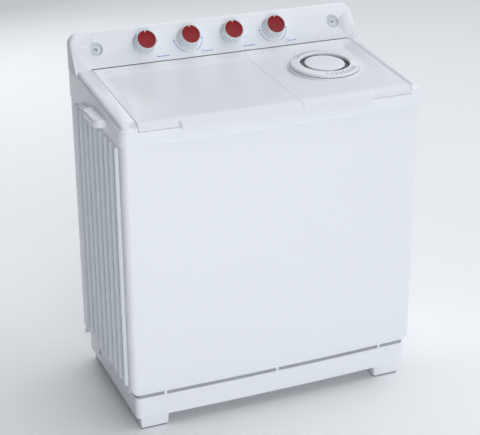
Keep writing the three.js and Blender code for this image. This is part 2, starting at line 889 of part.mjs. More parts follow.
function consoleHousing() {
  const half = frameHalfWidth + 1;
  const solidOf = (inset) =>
    meet(
      acrossX(consoleProfile(inset), -half, half),
      alongY(consoleEnds(inset), cabinetFront, frameRear + 2),
    );
  const face = faceGroup();
  face.updateMatrix();
  const inFace = (geometry) => geometry.applyMatrix4(face.matrix);
  const skirtCut = block(
    pocketLeft,
    pocketRight,
    cabinetFront,
    frameRear - wall,
    consoleSkirtZ - 2,
    lidRearZ + 0.5,
  );
  const wells = recessX.map((x) => inFace(rod(20 + wall, -16, 0, 20).translate(x, knobAlong, 0)));
  const pits = recessX.map((x) => inFace(rod(20, -13, 1, 20).translate(x, knobAlong, 0)));
  const screwHoles = recessX.map((x) => inFace(rod(3, -20, 1, 8).translate(x, knobAlong, 0)));
  const knobHole = () => rod(knobHoleRadius, -wall * 2, 1, 12);
  const knobHoles = knobX.map((x) => inFace(knobHole().translate(x, knobAlong, 0)));
  const shell = cut(solidOf(0), solidOf(wall), skirtCut);
  return cut(join(shell, ...wells), ...pits, ...screwHoles, ...knobHoles);
}

// Knob on the control face, standing on Z = 0; its shaft goes back through the panel.
function knob() {
  const grip = turned(
    [
      [0, 8],
      [20, 8],
      [20, 1],
      [knobSkirtRadius, 1],
      [knobSkirtRadius - 1, 9],
      [knobCapRadius + 2, knobHeight - 4],
      [knobCapRadius, knobHeight],
      [0, knobHeight],
    ],
    18,
  );
  return join(grip, rod(knobShaftRadius, -7, 9, 8));
}

// Switch or timer case behind the panel, hung under the face by its shaft's bush.
function control(width, height, depth) {
  const back = -wall - touchGap;
  const body = block(-width / 2, width / 2, -height / 2, height / 2, back - depth, back);
  return cut(body, rod(knobShaftRadius + runningGap, -8, 0, 12));
}

function addConsole() {
  add("console_housing", consoleHousing(), white);
  const cover = alongY(
    polygon([
      [-frameHalfWidth + 12, consoleSkirtZ + touchGap],
      [frameHalfWidth - 12, consoleSkirtZ + touchGap],
      [frameHalfWidth - 12, consoleTopZ - consoleCorner],
      [frameHalfWidth - 34, consoleTopZ - 9],
      [-frameHalfWidth + 34, consoleTopZ - 9],
      [-frameHalfWidth + 12, consoleTopZ - consoleCorner],
    ]),
    frameRear - 3,
    frameRear - 1,
  );
  const inletHole = rod(12 + touchGap, -10, 10).rotateX(Math.PI / 2);
  inletHole.translate(inletX, frameRear - 2, inletZ);
  const glandHole = rod(9 + touchGap, -10, 10).rotateX(Math.PI / 2);
  glandHole.translate(glandX, frameRear - 2, inletZ);
  add("console_back_cover", cut(cover, inletHole, glandHole), darkPlastic);
  const face = faceGroup();
  washer.add(face);
  knobNames.forEach((name, i) => {
    const spot = new THREE.Group();
    spot.position.set(knobX[i], knobAlong, 0);
    face.add(spot);
    add(`${name}_knob`, knob(), silver, spot);
    const [kind, size] = name.endsWith("timer") ? ["case", [48, 42, 24]] : ["switch", [40, 34, 22]];
    add(`${name}_${kind}`, control(...size), darkPlastic, spot);
  });
  ["left", "right"].forEach((side, i) => {
    const screw = join(rod(5.5, 0, 3.5, 10), rod(2.6, -10, 1, 8));
    add(`console_screw_${side}`, screw, steel, face).position.set(recessX[i], knobAlong, -13 + touchGap);
  });
  const inlet = turnedRing(
    [
      [7, -14],
      [12, -14],
      [12, -2],
      [16, -2],
      [16, 0],
      [11, 0],
      [11, 5.5],
      [7, 5.5],
    ],
    16,
  );
  add("water_inlet", inlet.rotateX(-Math.PI / 2).translate(inletX, frameRear + 1.5, inletZ), white);
  const gland = turnedRing(
    [
      [4, -12],
      [9, -12],
      [9, -1],
      [12, -1],
      [12, 1],
      [8, 5],
      [4, 5],
    ],
    16,
  );
  add("cord_gland", gland.rotateX(-Math.PI / 2).translate(glandX, frameRear + 1.5, inletZ), rubber);
}

const inletX = -halfWidth + 120;
const glandX = halfWidth - 90;
const inletZ = consoleSkirtZ + 30;

// ---- Wash side ----

function washTubShell() {
  const { left, right, front, rear, floor, top } = washTub;
  const outline = (inset) =>
    roundedRect(left + inset, right - inset, front + inset, rear - inset, tubCorner - inset);
  const body = join(
    prism(outline(0), floor, top),
    prism(roundedRect(left - 5, right + 3, front - 5, rear + 5, tubCorner), top - wall, top),
  );
  const drain = rod(18, floor - 1, floor + wall + 1, 16).translate(drainX, drainY, 0);
  const neck = rod(neckRadius + touchGap, floor - 1, floor + wall + 1, 20);
  return cut(
    body,
    prism(outline(wall), floor + wall, top + 1),
    neck.translate(pulsatorX, pulsatorY, 0),
    drain,
  );
}

const neckRadius = 17;
const drainX = washTub.right - 42;
const drainY = washTub.rear - 42;
const housingFoot = washTub.floor - 130;
const pulleyTop = housingFoot - 6;
const pulleyHeight = 18;
const pulleyBottom = pulleyTop - pulleyHeight;
const beltBottom = pulleyBottom + (pulleyHeight - beltHeight) / 2;

// Grooved pulley around the vertical axis, from pulleyBottom to pulleyTop.
function pulley(radius, bore) {
  const groove = radius - beltThickness - beltPlay;
  const low = beltBottom - 0.5;
  const high = beltBottom + beltHeight + 0.5;
  return turnedRing(
    [
      [bore, pulleyBottom],
      [radius, pulleyBottom],
      [radius, low],
      [groove, low],
      [groove, high],
      [radius, high],
      [radius, pulleyTop],
      [bore, pulleyTop],
    ],
    28,
  );
}

// Outer tangent loop around two circles, counter-clockwise.
function beltLoop(ax, ay, ar, bx, by, br) {
  const heading = THREE.MathUtils.radToDeg(Math.atan2(by - ay, bx - ax));
  const spread = THREE.MathUtils.radToDeg(Math.acos((ar - br) / Math.hypot(bx - ax, by - ay)));
  return [
    ...arc(ax, ay, ar, heading + spread, heading + 360 - spread, 22),
    ...arc(bx, by, br, heading - spread, heading + spread, 8),
  ];
}

function belt() {
  const big = drivePulleyRadius - beltThickness;
  const small = motorPulleyRadius - beltThickness;
  const loop = (grow) => beltLoop(pulsatorX, pulsatorY, big + grow, washMotorX, washMotorY, small + grow);
  const outline = polygon(loop(beltThickness));
  outline.holes.push(new THREE.Path(polygon(loop(0)).getPoints().reverse()));
  return prism(outline, beltBottom, beltBottom + beltHeight);
}

function pulsator() {
  const low = washTub.floor + wall + 7;
  const dish = turnedRing(
    [
      [shaftRadius + touchGap, low],
      [pulsatorRadius, low],
      [pulsatorRadius, low + 7],
      [pulsatorRadius - 8, low + 10],
      [55, low + 12],
      [32, low + 40],
      [shaftRadius + touchGap, low + 44],
    ],
    36,
  );
  const vanes = [];
  for (let i = 0; i < 4; i += 1) {
    const reach = pulsatorRadius - 14;
    const outline = polygon([
      [20, low + 2],
      [reach, low + 2],
      [reach, low + 16],
      [60, low + 26],
      [20, low + 38],
    ]);
    vanes.push(alongY(outline, -5, 5).rotateZ((i * Math.PI) / 2));
  }
  const body = join(dish, ...vanes);
  const bore = rod(shaftRadius + touchGap, low - 1, low + 50, 16);
  return cut(body, bore).translate(pulsatorX, pulsatorY, 0);
}

function shaftHousing() {
  const floor = washTub.floor;
  const bore = shaftRadius + runningGap;
  const outline = [
    [bore, housingFoot],
    [24, housingFoot],
    [26, floor - 30],
    [62, floor - 9],
    [62, floor - touchGap],
    [neckRadius, floor - touchGap],
    [neckRadius, floor + wall + 5],
    [bore, floor + wall + 5],
  ];
  return turnedRing(outline, 20).translate(pulsatorX, pulsatorY, 0);
}

const bracketTop = washTub.floor - 40;
const bracketSheet = 4;

// Plate clamped around the shaft housing that carries the wash motor.
function motorBracket() {
  const low = bracketTop - bracketSheet;
  const loop = beltLoop(pulsatorX, pulsatorY, 64, washMotorX, washMotorY, washMotorRadius);
  const hole = rod(26 + touchGap, low - 1, bracketTop + 1, 20).translate(pulsatorX, pulsatorY, 0);
  return cut(prism(polygon(loop), low, bracketTop), hole);
}

function washMotor() {
  const top = bracketTop - bracketSheet - touchGap;
  const bottom = pulleyTop + 8;
  const r = washMotorRadius;
  const outline = [
    [0, bottom],
    [20, bottom],
    [22, bottom + 6],
    [r - 14, bottom + 8],
    [r - 4, bottom + 16],
    [r, bottom + 16],
    [r, top - 8],
    [r - 6, top],
    [0, top],
  ];
  const shaftHole = rod(6 + runningGap, bottom - 1, bottom + 12, 12);
  return cut(turned(outline, 24), shaftHole).translate(washMotorX, washMotorY, 0);
}

function addWashSide() {
  add("wash_tub", washTubShell(), tubWhite);
  add("pulsator", pulsator(), bluePlastic);
  const shaft = rod(shaftRadius, pulleyBottom - 6, washTub.floor + wall + 44, 16);
  add("pulsator_shaft", shaft.translate(pulsatorX, pulsatorY, 0), steel);
  add("shaft_housing", shaftHousing(), castAluminium);
  const drive = pulley(drivePulleyRadius, shaftRadius + touchGap);
  add("drive_pulley", drive.translate(pulsatorX, pulsatorY, 0), castAluminium);
  const small = join(
    pulley(motorPulleyRadius, 5),
    rod(6, pulleyBottom - 4, pulleyTop + 17, 12),
  );
  add("motor_pulley", small.translate(washMotorX, washMotorY, 0), steel);
  add("v_belt", belt(), rubber);
  add("motor_bracket", motorBracket(), zinc);
  add("wash_motor", washMotor(), iron);
  addDrain();
  addFilter();
}

// Lint filter: a slotted frame that lifts out of the tub's right wall.
const filterLow = washTub.top - 250;
function addFilter() {
  const x1 = washTub.right - wall - touchGap;
  const x0 = x1 - 14;
  const height = 170;
  const half = 42;
  const frame = block(x0, x1, pulsatorY - half, pulsatorY + half, filterLow, filterLow + height);
  const slots = [];
  for (let i = 0; i < 4; i += 1) {
    const y = pulsatorY - half + 8 + i * 18;
    slots.push(block(x0 - 1, x1 - 4, y, y + 13, filterLow + 10, filterLow + height - 22));
  }
  add("lint_filter", cut(frame, ...slots), bluePlastic);
  const flatStart = washTub.front + tubCorner;
  const room = pulsatorY - half - flatStart; // flat wall in front of the filter
  const guardY0 = flatStart + 0.09 * room;
  const guardY1 = guardY0 + room / 2;
  const guard = cut(
    block(x1 - 10, x1, guardY0, guardY1, washTub.top - 150, washTub.top - 40),
    ...[0, 1, 2, 3].map((i) => {
      const z = washTub.top - 138 + i * 24;
      return block(x1 - 11, x1 - 3, guardY0 + 5, guardY1 - 5, z, z + 14);
    }),
  );
  add("overflow_guard", guard, tubWhite);
}

function addDrain() {
  const floor = washTub.floor;
  const valveLow = floor - 62;
  const valve = turnedRing(
    [
      [pipeRadius - 3, valveLow],
      [pipeRadius, valveLow],
      [26, valveLow + 18],
      [26, floor - 8],
      [32, floor - 6],
      [32, floor - touchGap],
      [22, floor - touchGap],
      [22, valveLow + 20],
      [pipeRadius - 3, valveLow + 6],
    ],
    20,
  );
  add("drain_valve", valve.translate(drainX, drainY, 0), darkPlastic);
  const low = plinthFloor + 22;
  const outletX = -halfWidth + plinthInset[0] + wall + 12;
  const route = new THREE.CatmullRomCurve3(
    [
      [drainX, drainY, valveLow - touchGap],
      [drainX, drainY, valveLow - 60],
      [drainX, drainY, low + 70],
      [drainX - 20, drainY + 1, low + 22],
      [drainX - 70, drainY + 3, low],
      [outletX + 60, hoseNotchY, low],
      [outletX, hoseNotchY, low],
    ].map((p) => new THREE.Vector3(...p)),
    false,
    "centripetal",
  );
  const section = new THREE.Shape();
  section.absarc(0, 0, pipeRadius - 1, 0, Math.PI * 2);
  const options = { steps: 22, extrudePath: route, curveSegments: 4 };
  add("drain_pipe", toGeometry(toSolid(new THREE.ExtrudeGeometry(section, options))), greyPlastic);
  const plinthX = -halfWidth + plinthInset[0];
  const outlet = join(
    acrossX(hoseNotchOutline(touchGap), plinthX - 1, plinthX + wall + 4),
    rodAlongX(pipeRadius, plinthX + 2, outletX - touchGap, hoseNotchY, low, 14),
  );
  const bore = rodAlongX(pipeRadius - 3, plinthX - 2, outletX + 1, hoseNotchY, low, 14);
  add("drain_outlet", cut(outlet, bore), white);
}

// ---- Spin side ----

const basketRadius = spinTubRadius - wall - basketGap;
const bellowsTop = spinFloor + 14;
const basketFloor = bellowsTop + 8;
const basketTop = deckTop - wall - 14;
const motorPlateZ = plinthFloor + touchGap + springHeight + touchGap;
const motorPlateSheet = 4;
const spinMotorLow = motorPlateZ + motorPlateSheet + touchGap;
const spinMotorTop = spinMotorLow + 116;
const brakeLow = spinMotorTop + 10;
const brakeHigh = brakeLow + 24;

function spinOuterTub() {
  const r = spinTubRadius;
  const outline = [
    [24, spinFloor],
    [r - 10, spinFloor],
    [r, spinFloor + 10],
    [r, washTub.top - wall],
    [r + 3, washTub.top - wall],
    [r + 3, washTub.top],
    [r - wall, washTub.top],
    [r - wall, spinFloor + 12],
    [r - 12, spinFloor + wall],
    [24, spinFloor + wall],
  ];
  return turnedRing(outline, 36);
}

function spinBasket() {
  const r = basketRadius;
  const bore = basketShaftRadius + touchGap;
  const outline = [
    [bore, basketFloor],
    [r - 14, basketFloor],
    [r, basketFloor + 14],
    [r, basketTop - 8],
    [r + 4, basketTop - 4],
    [r, basketTop],
    [r - 12, basketTop],
    [r - 12, basketTop - 4],
    [r - 2.5, basketTop - 8],
    [r - 2.5, basketFloor + 15],
    [r - 15, basketFloor + 3],
    [34, basketFloor + 3],
    [20, basketFloor + 40],
    [bore, basketFloor + 40],
  ];
  return turnedRing(outline, 32);
}

function brakeDrum() {
  const bore = basketShaftRadius + touchGap;
  return turnedRing(
    [
      [bore, brakeLow],
      [brakeRadius, brakeLow],
      [brakeRadius, brakeHigh],
      [brakeRadius - 5, brakeHigh],
      [brakeRadius - 5, brakeLow + 5],
      [22, brakeLow + 5],
      [20, brakeHigh + 12],
      [bore, brakeHigh + 12],
    ],
    28,
  );
}

const leverPivot = [brakeRadius + brakeGap + 16, 74];

// Bar with a shoe beside the drum; it turns on a pin that stands on the motor.
function brakeLever() {
  const [pivotX, pivotY] = leverPivot;
  const low = brakeLow + 4;
  const high = low + 6;
  const arm = prism(
    polygon([
      ...arc(pivotX, pivotY, 11, 0, 180, 6),
      [pivotX - 9, 16],
      [pivotX - 6, -78],
      [pivotX + 6, -78],
    ]),
    low,
    high,
  );
  const reach = brakeRadius + brakeGap;
  const shoe = cut(
    block(reach - 12, pivotX - 4, -18, 18, low, high + 6),
    rod(reach, low - 1, high + 8, 40),
  );
  return cut(join(arm, shoe), rod(4 + rodPlay, low - 1, high + 1, 12).translate(pivotX, pivotY, 0));
}

function spinMotor() {
  const r = spinMotorRadius;
  const [low, top] = [spinMotorLow, spinMotorTop];
  const outline = [
    [0, low],
    [r - 8, low],
    [r, low + 10],
    [r, top - 20],
    [r - 6, top - 14],
    [r - 20, top - 4],
    [20, top],
    [0, top],
  ];
  const [pivotX, pivotY] = leverPivot;
  const bracket = join(
    prism(beltPlate(pivotX, pivotY), top - 24, top - 18),
    rod(4, top - 20, brakeLow + 14, 12).translate(pivotX, pivotY, 0),
    rod(7, top - 20, brakeLow + 3.5, 12).translate(pivotX, pivotY, 0),
  );
  const shaftWell = rod(basketShaftRadius + runningGap, top - 14, top + 1, 14);
  return cut(join(turned(outline, 24), bracket), shaftWell);
}

function beltPlate(x, y) {
  return polygon(beltLoop(0, 0, 40, x, y, 12));
}

// Coil spring standing on Z = 0 at the group's origin.
function coilSpring() {
  const turns = 4;
  const steps = 8 * turns;
  const coil = new THREE.Curve();
  const rise = springHeight - springWire;
  coil.getPoint = (t) => {
    const angle = t * turns * Math.PI * 2;
    return new THREE.Vector3(
      springRadius * Math.cos(angle),
      springRadius * Math.sin(angle),
      springWire / 2 + rise * t,
    );
  };
  const section = new THREE.Shape();
  section.absarc(0, 0, springWire / 2, 0, Math.PI * 2);
  const options = { steps, extrudePath: coil, curveSegments: 2 };
  return toGeometry(toSolid(new THREE.ExtrudeGeometry(section, options)));
}

function addSpinSide() {
  const bay = new THREE.Group();
  bay.position.set(spinX, spinY, 0);
  washer.add(bay);
  add("spin_outer_tub", spinOuterTub(), tubWhite, bay);
  add("spin_basket", spinBasket(), steel, bay);
  const bore = basketShaftRadius + runningGap;
  const seal = turnedRing(
    [
      [bore, spinFloor - 22],
      [26, spinFloor - 22],
      [34, spinFloor - 14],
      [28, spinFloor - 8],
      [36, spinFloor - touchGap],
      [24 - touchGap, spinFloor - touchGap],
      [24 - touchGap, spinFloor + wall + 4],
      [bore + 3, bellowsTop],
      [bore, bellowsTop],
    ],
    20,
  );
  add("shaft_seal", seal, rubber, bay);
  add("basket_shaft", rod(basketShaftRadius, spinMotorTop - 12, basketFloor + 46, 14), steel, bay);
  add("brake_drum", brakeDrum(), castAluminium, bay);
  add("brake_lever", brakeLever(), zinc, bay);
  add("spin_motor", spinMotor(), iron, bay);
  const plate = prism(roundedRect(-84, 84, -84, 84, 30, 4), motorPlateZ, motorPlateZ + motorPlateSheet);
  add("spin_motor_plate", plate, zinc, bay);
  ["front", "left", "right"].forEach((place, i) => {
    const angle = (-90 - 120 * i) * (Math.PI / 180);
    const spring = add(`suspension_spring_${place}`, coilSpring(), steel, bay);
    spring.position.set(62 * Math.cos(angle), 62 * Math.sin(angle), plinthFloor + touchGap);
  });
  const capacitor = rod(20, plinthFloor + touchGap, plinthFloor + 74, 20);
  add("run_capacitor", capacitor.translate(lidSplit - 30, cabinetFront + 80, 0), darkPlastic);
}

addBase();
addCabinet();
addTopFrame();
addLids();
addConsole();
addWashSide();
addSpinSide();

export default washer;
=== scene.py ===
"""Looks of a twin tub washer: every shell, knob, tub and finish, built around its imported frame.

Metres throughout, +Z up, +X to the right of someone facing the front, +Y to the back.
"""
import json
from math import atan, atan2, copysign, cos, degrees, hypot, pi, radians, sin, sqrt, tan

import bmesh
import bpy
from mathutils import Matrix, Vector


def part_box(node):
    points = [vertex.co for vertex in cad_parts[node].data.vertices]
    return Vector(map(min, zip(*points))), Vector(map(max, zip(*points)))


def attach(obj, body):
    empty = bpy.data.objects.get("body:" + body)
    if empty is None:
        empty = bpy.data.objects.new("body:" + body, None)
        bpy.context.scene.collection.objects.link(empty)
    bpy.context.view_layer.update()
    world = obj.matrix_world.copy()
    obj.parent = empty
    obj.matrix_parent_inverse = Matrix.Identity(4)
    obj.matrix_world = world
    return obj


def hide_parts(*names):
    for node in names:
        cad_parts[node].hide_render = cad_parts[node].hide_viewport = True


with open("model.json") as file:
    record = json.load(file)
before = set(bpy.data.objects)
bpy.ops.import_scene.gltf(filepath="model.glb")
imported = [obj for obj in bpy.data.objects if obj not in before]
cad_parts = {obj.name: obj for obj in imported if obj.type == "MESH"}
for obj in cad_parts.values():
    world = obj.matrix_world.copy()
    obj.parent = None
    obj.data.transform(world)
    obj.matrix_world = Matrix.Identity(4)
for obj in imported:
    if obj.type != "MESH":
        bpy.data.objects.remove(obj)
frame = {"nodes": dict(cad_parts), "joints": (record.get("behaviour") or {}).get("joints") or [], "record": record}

bl_info = {
    "name": "Twin Tub Washer",
    "version": (1, 0, 0),
    "blender": (4, 5, 0),
    "location": "View3D > Sidebar > Washer",
    "description": "Builds a twin tub washer's shells, controls, tubs and finishes around its frame",
    "category": "Object",
}

MM = 0.001
TURN = 2 * pi

# ---- Places, read from the frame ----

PANEL_LOW, PANEL_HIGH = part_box("front_panel")
RIM_LOW, RIM_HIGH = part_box("top_frame")
WASH_LID_LOW, WASH_LID_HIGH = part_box("wash_lid")
SPIN_LID_LOW, SPIN_LID_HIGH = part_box("spin_lid")
CONSOLE_LOW, CONSOLE_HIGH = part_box("console_housing")
PLINTH_LOW, PLINTH_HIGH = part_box("base_plinth")
TUB_LOW, TUB_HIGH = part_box("wash_tub")
DRUM_LOW, DRUM_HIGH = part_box("spin_outer_tub")
BASKET_LOW, BASKET_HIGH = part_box("spin_basket")
JOINTS = {joint["name"]: joint for joint in frame["joints"]}

TOUCH = 0.3 * MM  # left between two pieces that touch
HALF = PANEL_HIGH.x  # half the width of the cabinet
RIM_HALF = RIM_HIGH.x
PROUD = RIM_HALF - HALF  # the top frame stands out over the panels
BOW = 8 * MM  # how far the middle of the front stands out
FRONT = PANEL_LOW.y + BOW  # the front at the cabinet's corners
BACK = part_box("rear_panel")[1].y
CORNER = 20 * MM
PANEL_FOOT = PANEL_LOW.z
PANEL_HEAD = PANEL_HIGH.z + TOUCH
SEAM = PANEL_HEAD + 39 * MM  # top of the front band, under the lids
DECK = SEAM - 9 * MM
POCKET_LEFT = WASH_LID_LOW.x - 0.8 * MM
POCKET_RIGHT = SPIN_LID_HIGH.x + 0.8 * MM
LID_GAP = 0.4 * MM
SPLIT = (WASH_LID_HIGH.x + SPIN_LID_LOW.x) / 2
CONSOLE_FOOT = WASH_LID_HIGH.y + 1.5 * MM
ROLL = 24 * MM  # rounding along the front edge of the lids and rims
DIAL_CENTRE = Vector(JOINTS["vent_dial_turn"]["pos_m"])
DIAL_AXIS = JOINTS["vent_dial_turn"]["axis"]
SLOPE = -DIAL_AXIS[1] / DIAL_AXIS[2]
LID_TILT = atan(SLOPE)
HINGE_Y, HINGE_Z = JOINTS["wash_lid_hinge"]["pos_m"][1:3]
KNOB_AXIS = JOINTS["wash_selector_turn"]["axis"]
FACE_TILT = atan(abs(KNOB_AXIS[1] / KNOB_AXIS[2]))
KNOB_ALONG = 58 * MM  # knobs, up the control face
BASKET_X, BASKET_Y = JOINTS["basket_turn"]["pos_m"][0:2]
PULSATOR_X, PULSATOR_Y = JOINTS["pulsator_turn"]["pos_m"][0:2]


def lid_top(y):
    """Height of the plane that the lids and rims lie in."""
    return DIAL_CENTRE.z + (y - DIAL_CENTRE.y) * SLOPE


LID_REAR = lid_top(CONSOLE_FOOT)
FACE = Matrix.Translation((0, CONSOLE_FOOT, LID_REAR)) @ Matrix.Rotation(FACE_TILT, 4, "X")
LID_PLANE = Matrix.Translation(DIAL_CENTRE) @ Matrix.Rotation(LID_TILT, 4, "X")


def face_y(z):
    """Depth of the control face at a height."""
    return CONSOLE_FOOT + (z - LID_REAR) / tan(FACE_TILT)


def bowed(x, front, half):
    """Depth of the bowed front at a place across the width."""
    return front - BOW * (1 - (x / half) ** 2)


# ---- What a user may change ----


def length(name, text, default):
    return bpy.props.FloatProperty(name=name, description=text, default=default, unit="LENGTH", precision=4)


def colour(name, text, default):
    return bpy.props.FloatVectorProperty(
        name=name, description=text, default=default, subtype="COLOR", size=3, min=0, max=1
    )


class WasherShellSizes(bpy.types.PropertyGroup):
    panel_wall: length("Panel wall", "Thickness of the moulded panels", 2.6 * MM)
    edge: length("Edge", "Rounding along the edges of the panels", 1.6 * MM)
    flute_width: length("Flute width", "Width of the upright flutes on the sides", 12 * MM)
    flute_height: length("Flute height", "How far the flutes stand out", 9 * MM)
    flute_pitch: length("Flute pitch", "Distance from flute to flute", 45.5 * MM)
    rim_edge: length("Rim edge", "Rounding along the outer edge of the top rims", 12 * MM)
    pan_depth: length("Pan depth", "How far the middle of the lids drops at the back", 14 * MM)
    pan_rear: length("Pan rear", "Depth of the sloping strip along the back of the lids", 35 * MM)
    lip_drop: length("Lip drop", "How far the finger lip hangs below the lids' seam", 8 * MM)
    lip_flare: length("Lip flare", "How far the finger lip stands out", 7 * MM)


class WasherControlSizes(bpy.types.PropertyGroup):
    console_corner: length("Console corner", "Rounding of the console's two upper corners", 30 * MM)
    knob_radius: length("Knob radius", "Radius of the knob skirts at the foot", 33 * MM)
    cap_radius: length("Cap radius", "Radius of the coloured knob caps", 26.2 * MM)
    knob_height: length("Knob height", "Height of the knobs above the face", 34 * MM)
    arrow_radius: length("Arrow radius", "Radius of the printed arrows around the timers", 42 * MM)
    knob_flutes: bpy.props.IntProperty(
        name="Knob flutes", description="Flutes around a knob", default=24, min=8
    )


class WasherColours(bpy.types.PropertyGroup):
    shell: colour("Shell", "Front panel, frame, plinth and console", (0.80, 0.85, 0.905))
    # painted shade: the side and rear panels get a darker tone than the shell, standing in for the shade the sides
    # lie in
    side: colour("Side", "Side and rear panels", (0.58, 0.63, 0.69))
    # painted shade: the lid tone is set well below the shell's, standing in for the weaker light on the tops
    lid: colour("Lid", "Lids and vent", (0.37, 0.395, 0.44))
    tub: colour("Tub", "Wash tub and spin tub", (0.78, 0.81, 0.82))
    cap: colour("Cap", "Knob caps", (0.27, 0.004, 0.008))
    print: colour("Print", "Printed arrows and marks", (0.05, 0.22, 0.60))
    agitator: colour("Agitator", "Pulsator and lint filter", (0.17, 0.36, 0.60))


# ---- Mesh work ----


def along(stops, at):
    """A smooth curve through (place, value) stops, read at a place."""
    if at <= stops[0][0]:
        return stops[0][1]
    for i in range(len(stops) - 1):
        (a, low), (b, high) = stops[i], stops[i + 1]
        if at <= b:
            before = stops[max(i - 1, 0)]
            after = stops[min(i + 2, len(stops) - 1)]
            rise_in = (high - before[1]) / (b - before[0]) * (b - a)
            rise_out = (after[1] - low) / (after[0] - a) * (b - a)
            t = (at - a) / (b - a)
            return (
                (2 * t**3 - 3 * t**2 + 1) * low
                + (t**3 - 2 * t**2 + t) * rise_in
                + (3 * t**2 - 2 * t**3) * high
                + (t**3 - t**2) * rise_out
            )
    return stops[-1][1]


def clamp(value):
    return min(1.0, max(0.0, value))


def ramp(value, softness=0.06):
    """A straight ramp from 0 to 1 with slightly rounded ends."""
    return (clamp(value - softness) + clamp(value) + clamp(value + softness)) / 3


def smooth(value):
    t = clamp(value)
    return t * t * (3 - 2 * t)


def spread(start, stop, count):
    """count evenly spaced numbers from start to stop, both included."""
    return [start + (stop - start) * i / (count - 1) for i in range(count)]


def bend(u, v, radius, start, stop, steps=6):
    """Points of an arc around (u, v). Angles in degrees, ends included."""
    angles = [radians(a) for a in spread(start, stop, steps + 1)]
    return [(u + radius * cos(a), v + radius * sin(a)) for a in angles]


def rounded(u0, u1, v0, v1, radius, steps=6):
    """A rectangle with rounded corners, counter-clockwise."""
    return [
        *bend(u0 + radius, v0 + radius, radius, 180, 270, steps),
        *bend(u1 - radius, v0 + radius, radius, 270, 360, steps),
        *bend(u1 - radius, v1 - radius, radius, 0, 90, steps),
        *bend(u0 + radius, v1 - radius, radius, 90, 180, steps),
    ]


def ring(radius, steps=48, u=0.0, v=0.0):
    return bend(u, v, radius, 0, 360 - 360 / steps, steps - 1)


def capsule(u0, u1, v, radius, steps=6):
    return rounded(u0, u1, v - radius, v + radius, radius * 0.999, steps)


class Stock:
    """Points and faces gathered until they become one piece."""

    def __init__(self):
        self.points = []
        self.faces = []

    def add(self, part, place=None):
        """A (points, faces) part, moved by a matrix if one is given."""
        points, faces = part
        first = len(self.points)
        moved = [place @ Vector(p) for p in points] if place else [Vector(p) for p in points]
        self.points.extend(moved)
        self.faces.extend([first + i for i in face] for face in faces)
        return self

    def piece(self, name, sharp=35, facing=None, solid=True):
        """The finished object. An open sheet is turned to face a direction, a solid faces out."""
        mesh = bpy.data.meshes.new(name)
        work = bmesh.new()
        corners = [work.verts.new(p) for p in self.points]
        for face in self.faces:
            if len(set(face)) > 2:
                work.faces.new([corners[i] for i in face])
        bmesh.ops.remove_doubles(work, verts=work.verts, dist=2e-6)
        bmesh.ops.dissolve_degenerate(work, edges=work.edges, dist=1e-7)
        if solid:
            bmesh.ops.recalc_face_normals(work, faces=work.faces)
        else:
            work.normal_update()
            if sum(f.calc_area() * f.normal.dot(sheet_side(f, facing)) for f in work.faces) < 0:
                bmesh.ops.reverse_faces(work, faces=work.faces)
        work.to_mesh(mesh)
        work.free()
        return stand(name, mesh, sharp)


def sheet_side(face, facing):
    """The way a sheet's face should look: a fixed direction, or away from the middle of the cabinet."""
    if facing:
        return Vector(facing)
    middle = face.calc_center_median()
    return Vector((middle.x, middle.y, 0))


def stand(name, mesh, sharp=35):
    mesh.shade_smooth()
    mesh.set_sharp_from_angle(angle=radians(sharp))
    piece = bpy.data.objects.new(name, mesh)
    bpy.context.scene.collection.objects.link(piece)
    return piece


def sheet(rows, loop=False):
    """A surface through rows of points. A loop joins each row's ends."""
    columns = len(rows[0])
    last = columns if loop else columns - 1
    faces = []
    for r in range(len(rows) - 1):
        for c in range(last):
            n = (c + 1) % columns
            a, b = r * columns, (r + 1) * columns
            faces.append((a + c, a + n, b + n, b + c))
    return [p for row in rows for p in row], faces


def turned(profile, steps=64, closed=False):
    """A (radius, height) profile turned about the upright axis."""
    outline = [*profile, profile[0]] if closed else profile
    return sheet([circle(radius, height, steps) for radius, height in outline], loop=True)


def capped(rows, loop=False):
    """A surface through rows of points, closed with one face at its last row."""
    points, faces = sheet(rows, loop)
    return points, [*faces, tuple(range(len(points) - len(rows[0]), len(points)))]


def circle(radius, height, steps):
    return [(radius * cos(a), radius * sin(a), height) for a in spread(0, TURN, steps + 1)[:-1]]


def between(near, far):
    """A solid between two loops of as many points."""
    count = len(near)
    walls = [(i, (i + 1) % count, count + (i + 1) % count, count + i) for i in range(count)]
    return [*near, *far], [tuple(range(count))[::-1], tuple(range(count, 2 * count)), *walls]


def prism(outline, low, high):
    """An outline in the floor plane, raised from low to high."""
    return between([(u, v, low) for u, v in outline], [(u, v, high) for u, v in outline])


def lathe(profile, steps, closed=False):
    """A (radius, height) profile given in millimetres, turned about the upright axis."""
    return turned([(radius * MM, height * MM) for radius, height in profile], steps, closed)


def block(x0, x1, y0, y1, z0, z1):
    return prism([(x0, y0), (x1, y0), (x1, y1), (x0, y1)], z0, z1)


def sideways(part):
    """A part drawn in (depth, height, across), put in place."""
    points, faces = part
    return [(x, y, z) for y, z, x in points], faces


def upright(part):
    """A part drawn in (across, height, depth), put in place."""
    points, faces = part
    return [(x, y, z) for x, z, y in points], faces


def inside(low, high, inset, radius, steps=6):
    """A box's plan, drawn in all round and with rounded corners."""
    return rounded(low.x + inset, high.x - inset, low.y + inset, high.y - inset, radius, steps)


def at(x, y, z=0.0):
    return Matrix.Translation((x, y, z))


def spun(angle):
    return Matrix.Rotation(angle, 4, "Z")


def on_face(x, out=0.0):
    """A place on the control face, in the row of the knobs."""
    return FACE @ at(x, KNOB_ALONG, out)


def along_x(outline, x0, x1):
    """A (depth, height) outline run across the width."""
    return sideways(prism(outline, x0, x1))


def along_y(outline, y0, y1):
    """A (across, height) outline run from front to back."""
    return upright(prism(outline, y0, y1))


